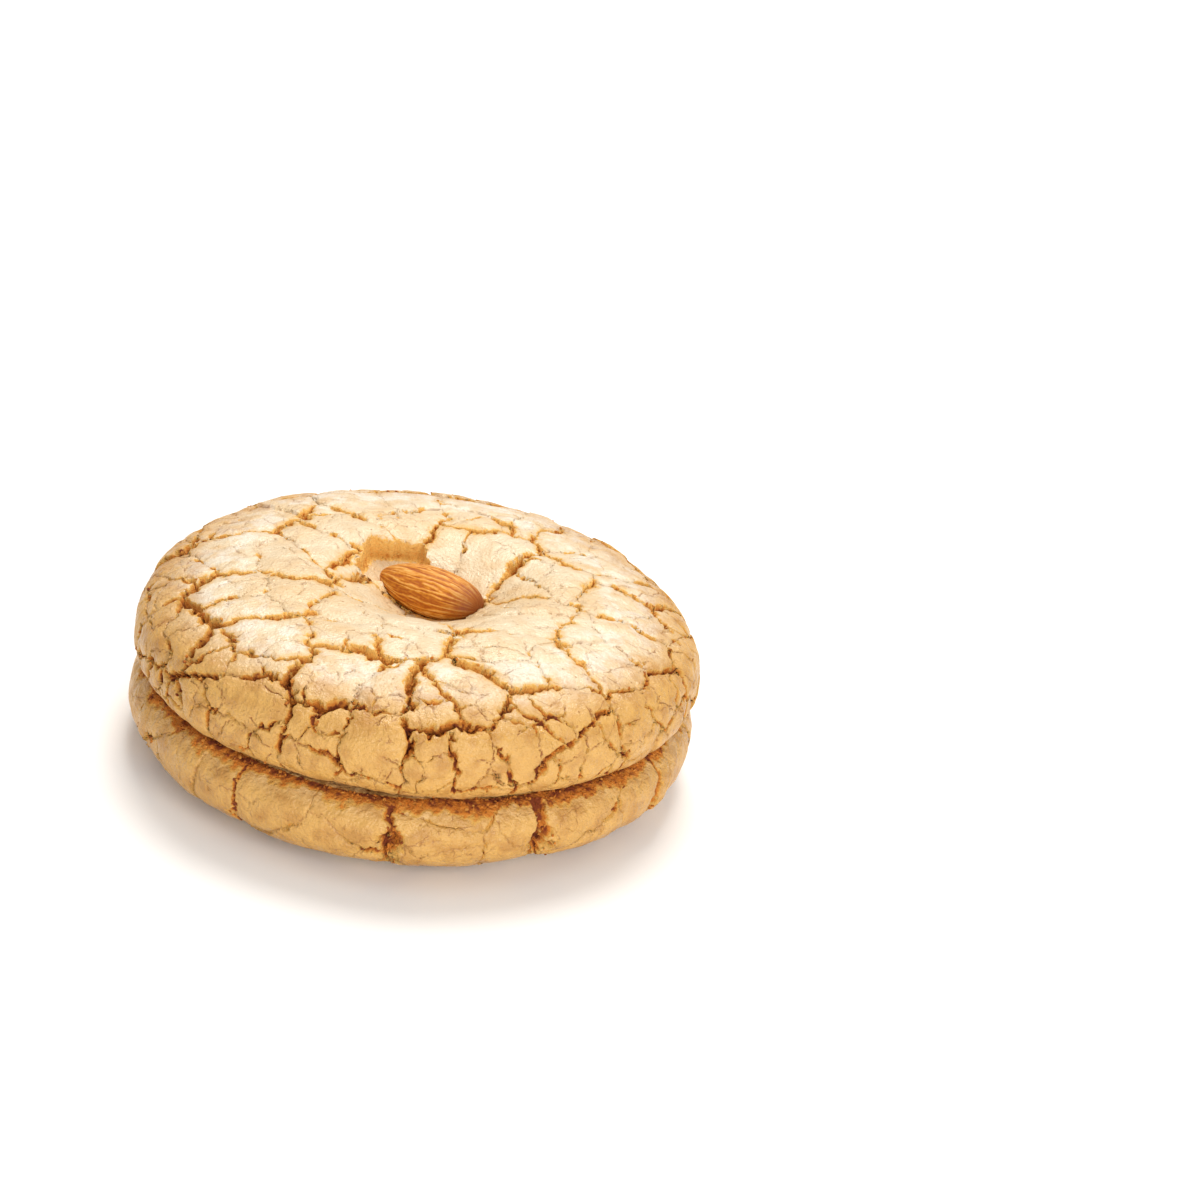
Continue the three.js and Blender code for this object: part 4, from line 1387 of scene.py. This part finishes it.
# %% Relief tree
def relief_tree():
    sizes = ("Lump Size", "Lump Depth", "Swell Size", "Swell Depth", "Crumb Size", "Crumb Depth", "Lowest")
    inputs = [(name, "Float") for name in sizes] + [("Material", "Material")]
    tree, put, given = new_tree("crust_relief", inputs)
    crumb = put("GeometryNodeInputNamedAttribute", {"Name": "crumb"}, data_type="FLOAT")
    lifts = []
    for kind in ("Lump", "Swell", "Crumb"):
        fineness = put(MATH, (1.0, given[f"{kind} Size"]), operation="DIVIDE")
        noise = put(NOISE, {"Scale": fineness, "Detail": 3.0, "Roughness": 0.6})
        centred = put(MATH, (noise, 2.0, -1.0), operation="MULTIPLY_ADD")
        lifts.append(put(MATH, (centred, given[f"{kind} Depth"]), operation="MULTIPLY"))
    lump, swell, grainy = lifts
    fine_lift = put(MIX, {0: crumb, 2: swell, 3: grainy})
    lift = put(MATH, (fine_lift, lump), operation="ADD")
    push = put(VECTOR_MATH, {0: put("GeometryNodeInputNormal"), "Scale": lift}, operation="SCALE")
    moved = put("GeometryNodeSetPosition", {"Geometry": given["Geometry"], "Offset": push})
    x, y, z = put("ShaderNodeSeparateXYZ", [put("GeometryNodeInputPosition")]).outputs
    on_floor = put("ShaderNodeCombineXYZ", (x, y, put(MATH, (z, given["Lowest"]), operation="MAXIMUM")))
    rested = put("GeometryNodeSetPosition", {"Geometry": moved, "Position": on_floor})
    finish_tree(put, rested, given["Material"])
    return tree


relief = relief_tree()
relief_sizes = {
    "Lump Size": 15 * MM, "Lump Depth": 0.9 * MM, "Swell Size": 3.2 * MM, "Swell Depth": 0.2 * MM,
    "Crumb Size": 0.75 * MM, "Crumb Depth": 0.8 * MM, "Lowest": 0.0, "Material": crust_finish,
}
upper_crust = grown("upper_crust", upper_mesh, relief, relief_sizes)
lower_crust = grown("lower_crust", lower_mesh, relief, relief_sizes)

# %% [markdown]
# ## Loose crumb
# Where the crust tore, grains of baked almond stand in the cracks and in the band under the seam. They
# repeat by the hundred and follow the surface, so a tree scatters small lumps over the crust wherever it is
# deep in crumb, each one turned, squashed and shaded by its own draw. A lump has 20 faces, which is enough
# at this size.

# %% Crumb tree
CRUMB_GRAIN = 0.27  # radius in millimetres
GRAINS_PER_MM2 = 0.8
GRAINS_FROM = (0.5, 0.62)  # depths in crumb at which grains begin and are at their densest
GRAIN_SQUASH = (0.4, 1.7)  # least and most of each side, as a share
GRAIN_SHADE = (0.48, 0.84)  # depth in crumb that a grain's colour is taken from
GRAIN_FACES = 20
FULL_TURN = 6.28  # radians
LOWEST_GRAIN = 1  # millimetres above the floor


def crumb_tree():
    sizes = [("Grain Size", "Float"), ("Density", "Float"), ("Lowest", "Float"), ("Seed", "Int")]
    tree, put, given = new_tree("loose_crumb", sizes + [("Material", "Material")])
    height = put("ShaderNodeSeparateXYZ", [put("GeometryNodeInputPosition")]).outputs["Z"]
    above = put(MATH, (height, given["Lowest"]), operation="GREATER_THAN")
    crumb = put("GeometryNodeInputNamedAttribute", {"Name": "crumb"}, data_type="FLOAT")
    density = put(MATH, (put(MAP, (crumb, *GRAINS_FROM)), given["Density"]), operation="MULTIPLY")
    spots = put("GeometryNodeDistributePointsOnFaces", {
        "Mesh": given["Geometry"], "Density": density, "Seed": given["Seed"],
    })
    lump = put("GeometryNodeMeshIcoSphere", {"Radius": given["Grain Size"], "Subdivisions": 1})
    random, vector = "FunctionNodeRandomValue", {"data_type": "FLOAT_VECTOR"}
    turned = put(random, {1: (FULL_TURN,) * 3, "Seed": given["Seed"]}, **vector)
    squashed = put(random, {0: (GRAIN_SQUASH[0],) * 3, 1: (GRAIN_SQUASH[1],) * 3}, **vector)
    grains = put("GeometryNodeInstanceOnPoints", {
        "Points": spots, "Selection": above, "Instance": lump, "Rotation": turned, "Scale": squashed,
    })
    shade = put(random, {2: GRAIN_SHADE[0], 3: GRAIN_SHADE[1]}, data_type="FLOAT")
    shaded = {"Geometry": grains, "Name": "crumb", "Value": shade}
    toned = put("GeometryNodeStoreNamedAttribute", shaded, domain="INSTANCE")
    finish_tree(put, toned, given["Material"])
    return tree


loose_crumb = crumb_tree()
grain_sizes = {
    "Grain Size": CRUMB_GRAIN * MM, "Density": GRAINS_PER_MM2 / MM**2, "Lowest": LOWEST_GRAIN * MM,
    "Material": crust_finish,
}
upper_grains = grown("upper_grains", upper_crust.data.copy(), loose_crumb, {**grain_sizes, "Seed": 3})
lower_grains = grown("lower_grains", lower_crust.data.copy(), loose_crumb, {**grain_sizes, "Seed": 4})
print("grains:", [len(piece.data.polygons) // GRAIN_FACES for piece in (upper_grains, lower_grains)])

# %% [markdown]
# ## The almond's finish
# The almond keeps its skin, a dry leathery husk of brown fibre, wrinkled into ridges as it dried. To the
# eye that is a dull satin brown. Its colour is made paler on the crests, darker in the furrows, and darker
# towards the blunt end. The ridges are in the mesh already, and their height, kept as an attribute, puts
# each colour in its place.

# %% Almond skin
SKIN_FURROW = "#a8560e"
SKIN_BROWN = "#d28420"
SKIN_RIDGE = "#ebb462"
SKIN_END = "#7c3808"
ALMOND_IOR = 1.5  # plant fibre
ALMOND_SPECULAR = 0.3  # less than usual, because dust dulls it
ALMOND_ROUGHNESS = (0.45, 0.65)
FLECK_SIZE = 0.7  # millimetres; real dust is finer than shows
FLECK_HEIGHT = 0.12

almond_skin.use_nodes = True
almond_nodes = almond_skin.node_tree
almond_shader = almond_nodes.nodes["Principled BSDF"]
almond_shader.inputs["IOR"].default_value = ALMOND_IOR
almond_shader.inputs["Specular IOR Level"].default_value = ALMOND_SPECULAR
put = partial(add, almond_nodes)
place = put("ShaderNodeTexCoord").outputs["Object"]
ridge, along = (put(ATTRIBUTE, attribute_name=key).outputs["Fac"] for key in ("ridge", "along"))
flecks = put(NOISE, {"Vector": place, "Scale": 1 / (FLECK_SIZE * MM), "Detail": 3.0})
fleck_shift = put(MATH, (flecks, 0.5, -0.25), operation="MULTIPLY_ADD")
level = put(MATH, (ridge, fleck_shift), operation="ADD")
colour = linear(SKIN_FURROW)
for share, shade in (
    (put(MAP, (level, 0.1, 0.5)), SKIN_BROWN),
    (put(MAP, (level, 0.5, 1.0)), SKIN_RIDGE),
    (put(MAP, (along, 0.25, 0.0, 0.0, 0.9)), SKIN_END),
):
    colour = put(MIX, {0: share, 6: colour, 7: linear(shade)}, **COLOUR)
almond_nodes.links.new(colour.outputs["Result"], almond_shader.inputs["Base Color"])
roughness = put(MAP, (flecks, 0.0, 1.0, *ALMOND_ROUGHNESS))
almond_nodes.links.new(roughness.outputs["Result"], almond_shader.inputs["Roughness"])
bump = put("ShaderNodeBump", {"Height": flecks, "Distance": FLECK_HEIGHT * MM})
almond_nodes.links.new(bump.outputs["Normal"], almond_shader.inputs["Normal"])
almond.data.transform(Matrix.Scale(MM, 4) @ Matrix.Translation(Vector(AXIS)))
print("almond finish of", len(almond_nodes.nodes), "nodes")

# %% [markdown]
# ## Handing over
# Every piece rides on the cookie's one body. The two crusts and the almond take the place of their solids,
# and the grains lie on the crusts.

# %% Ride and replace
for piece, node, finish in (
    (upper_crust, "upper_biscuit", "crust"),
    (lower_crust, "lower_biscuit", "crust"),
    (almond, "almond", "almond_skin"),
):
    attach(piece, "root")
    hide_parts(node)
for piece in (upper_grains, lower_grains):
    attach(piece, "root")
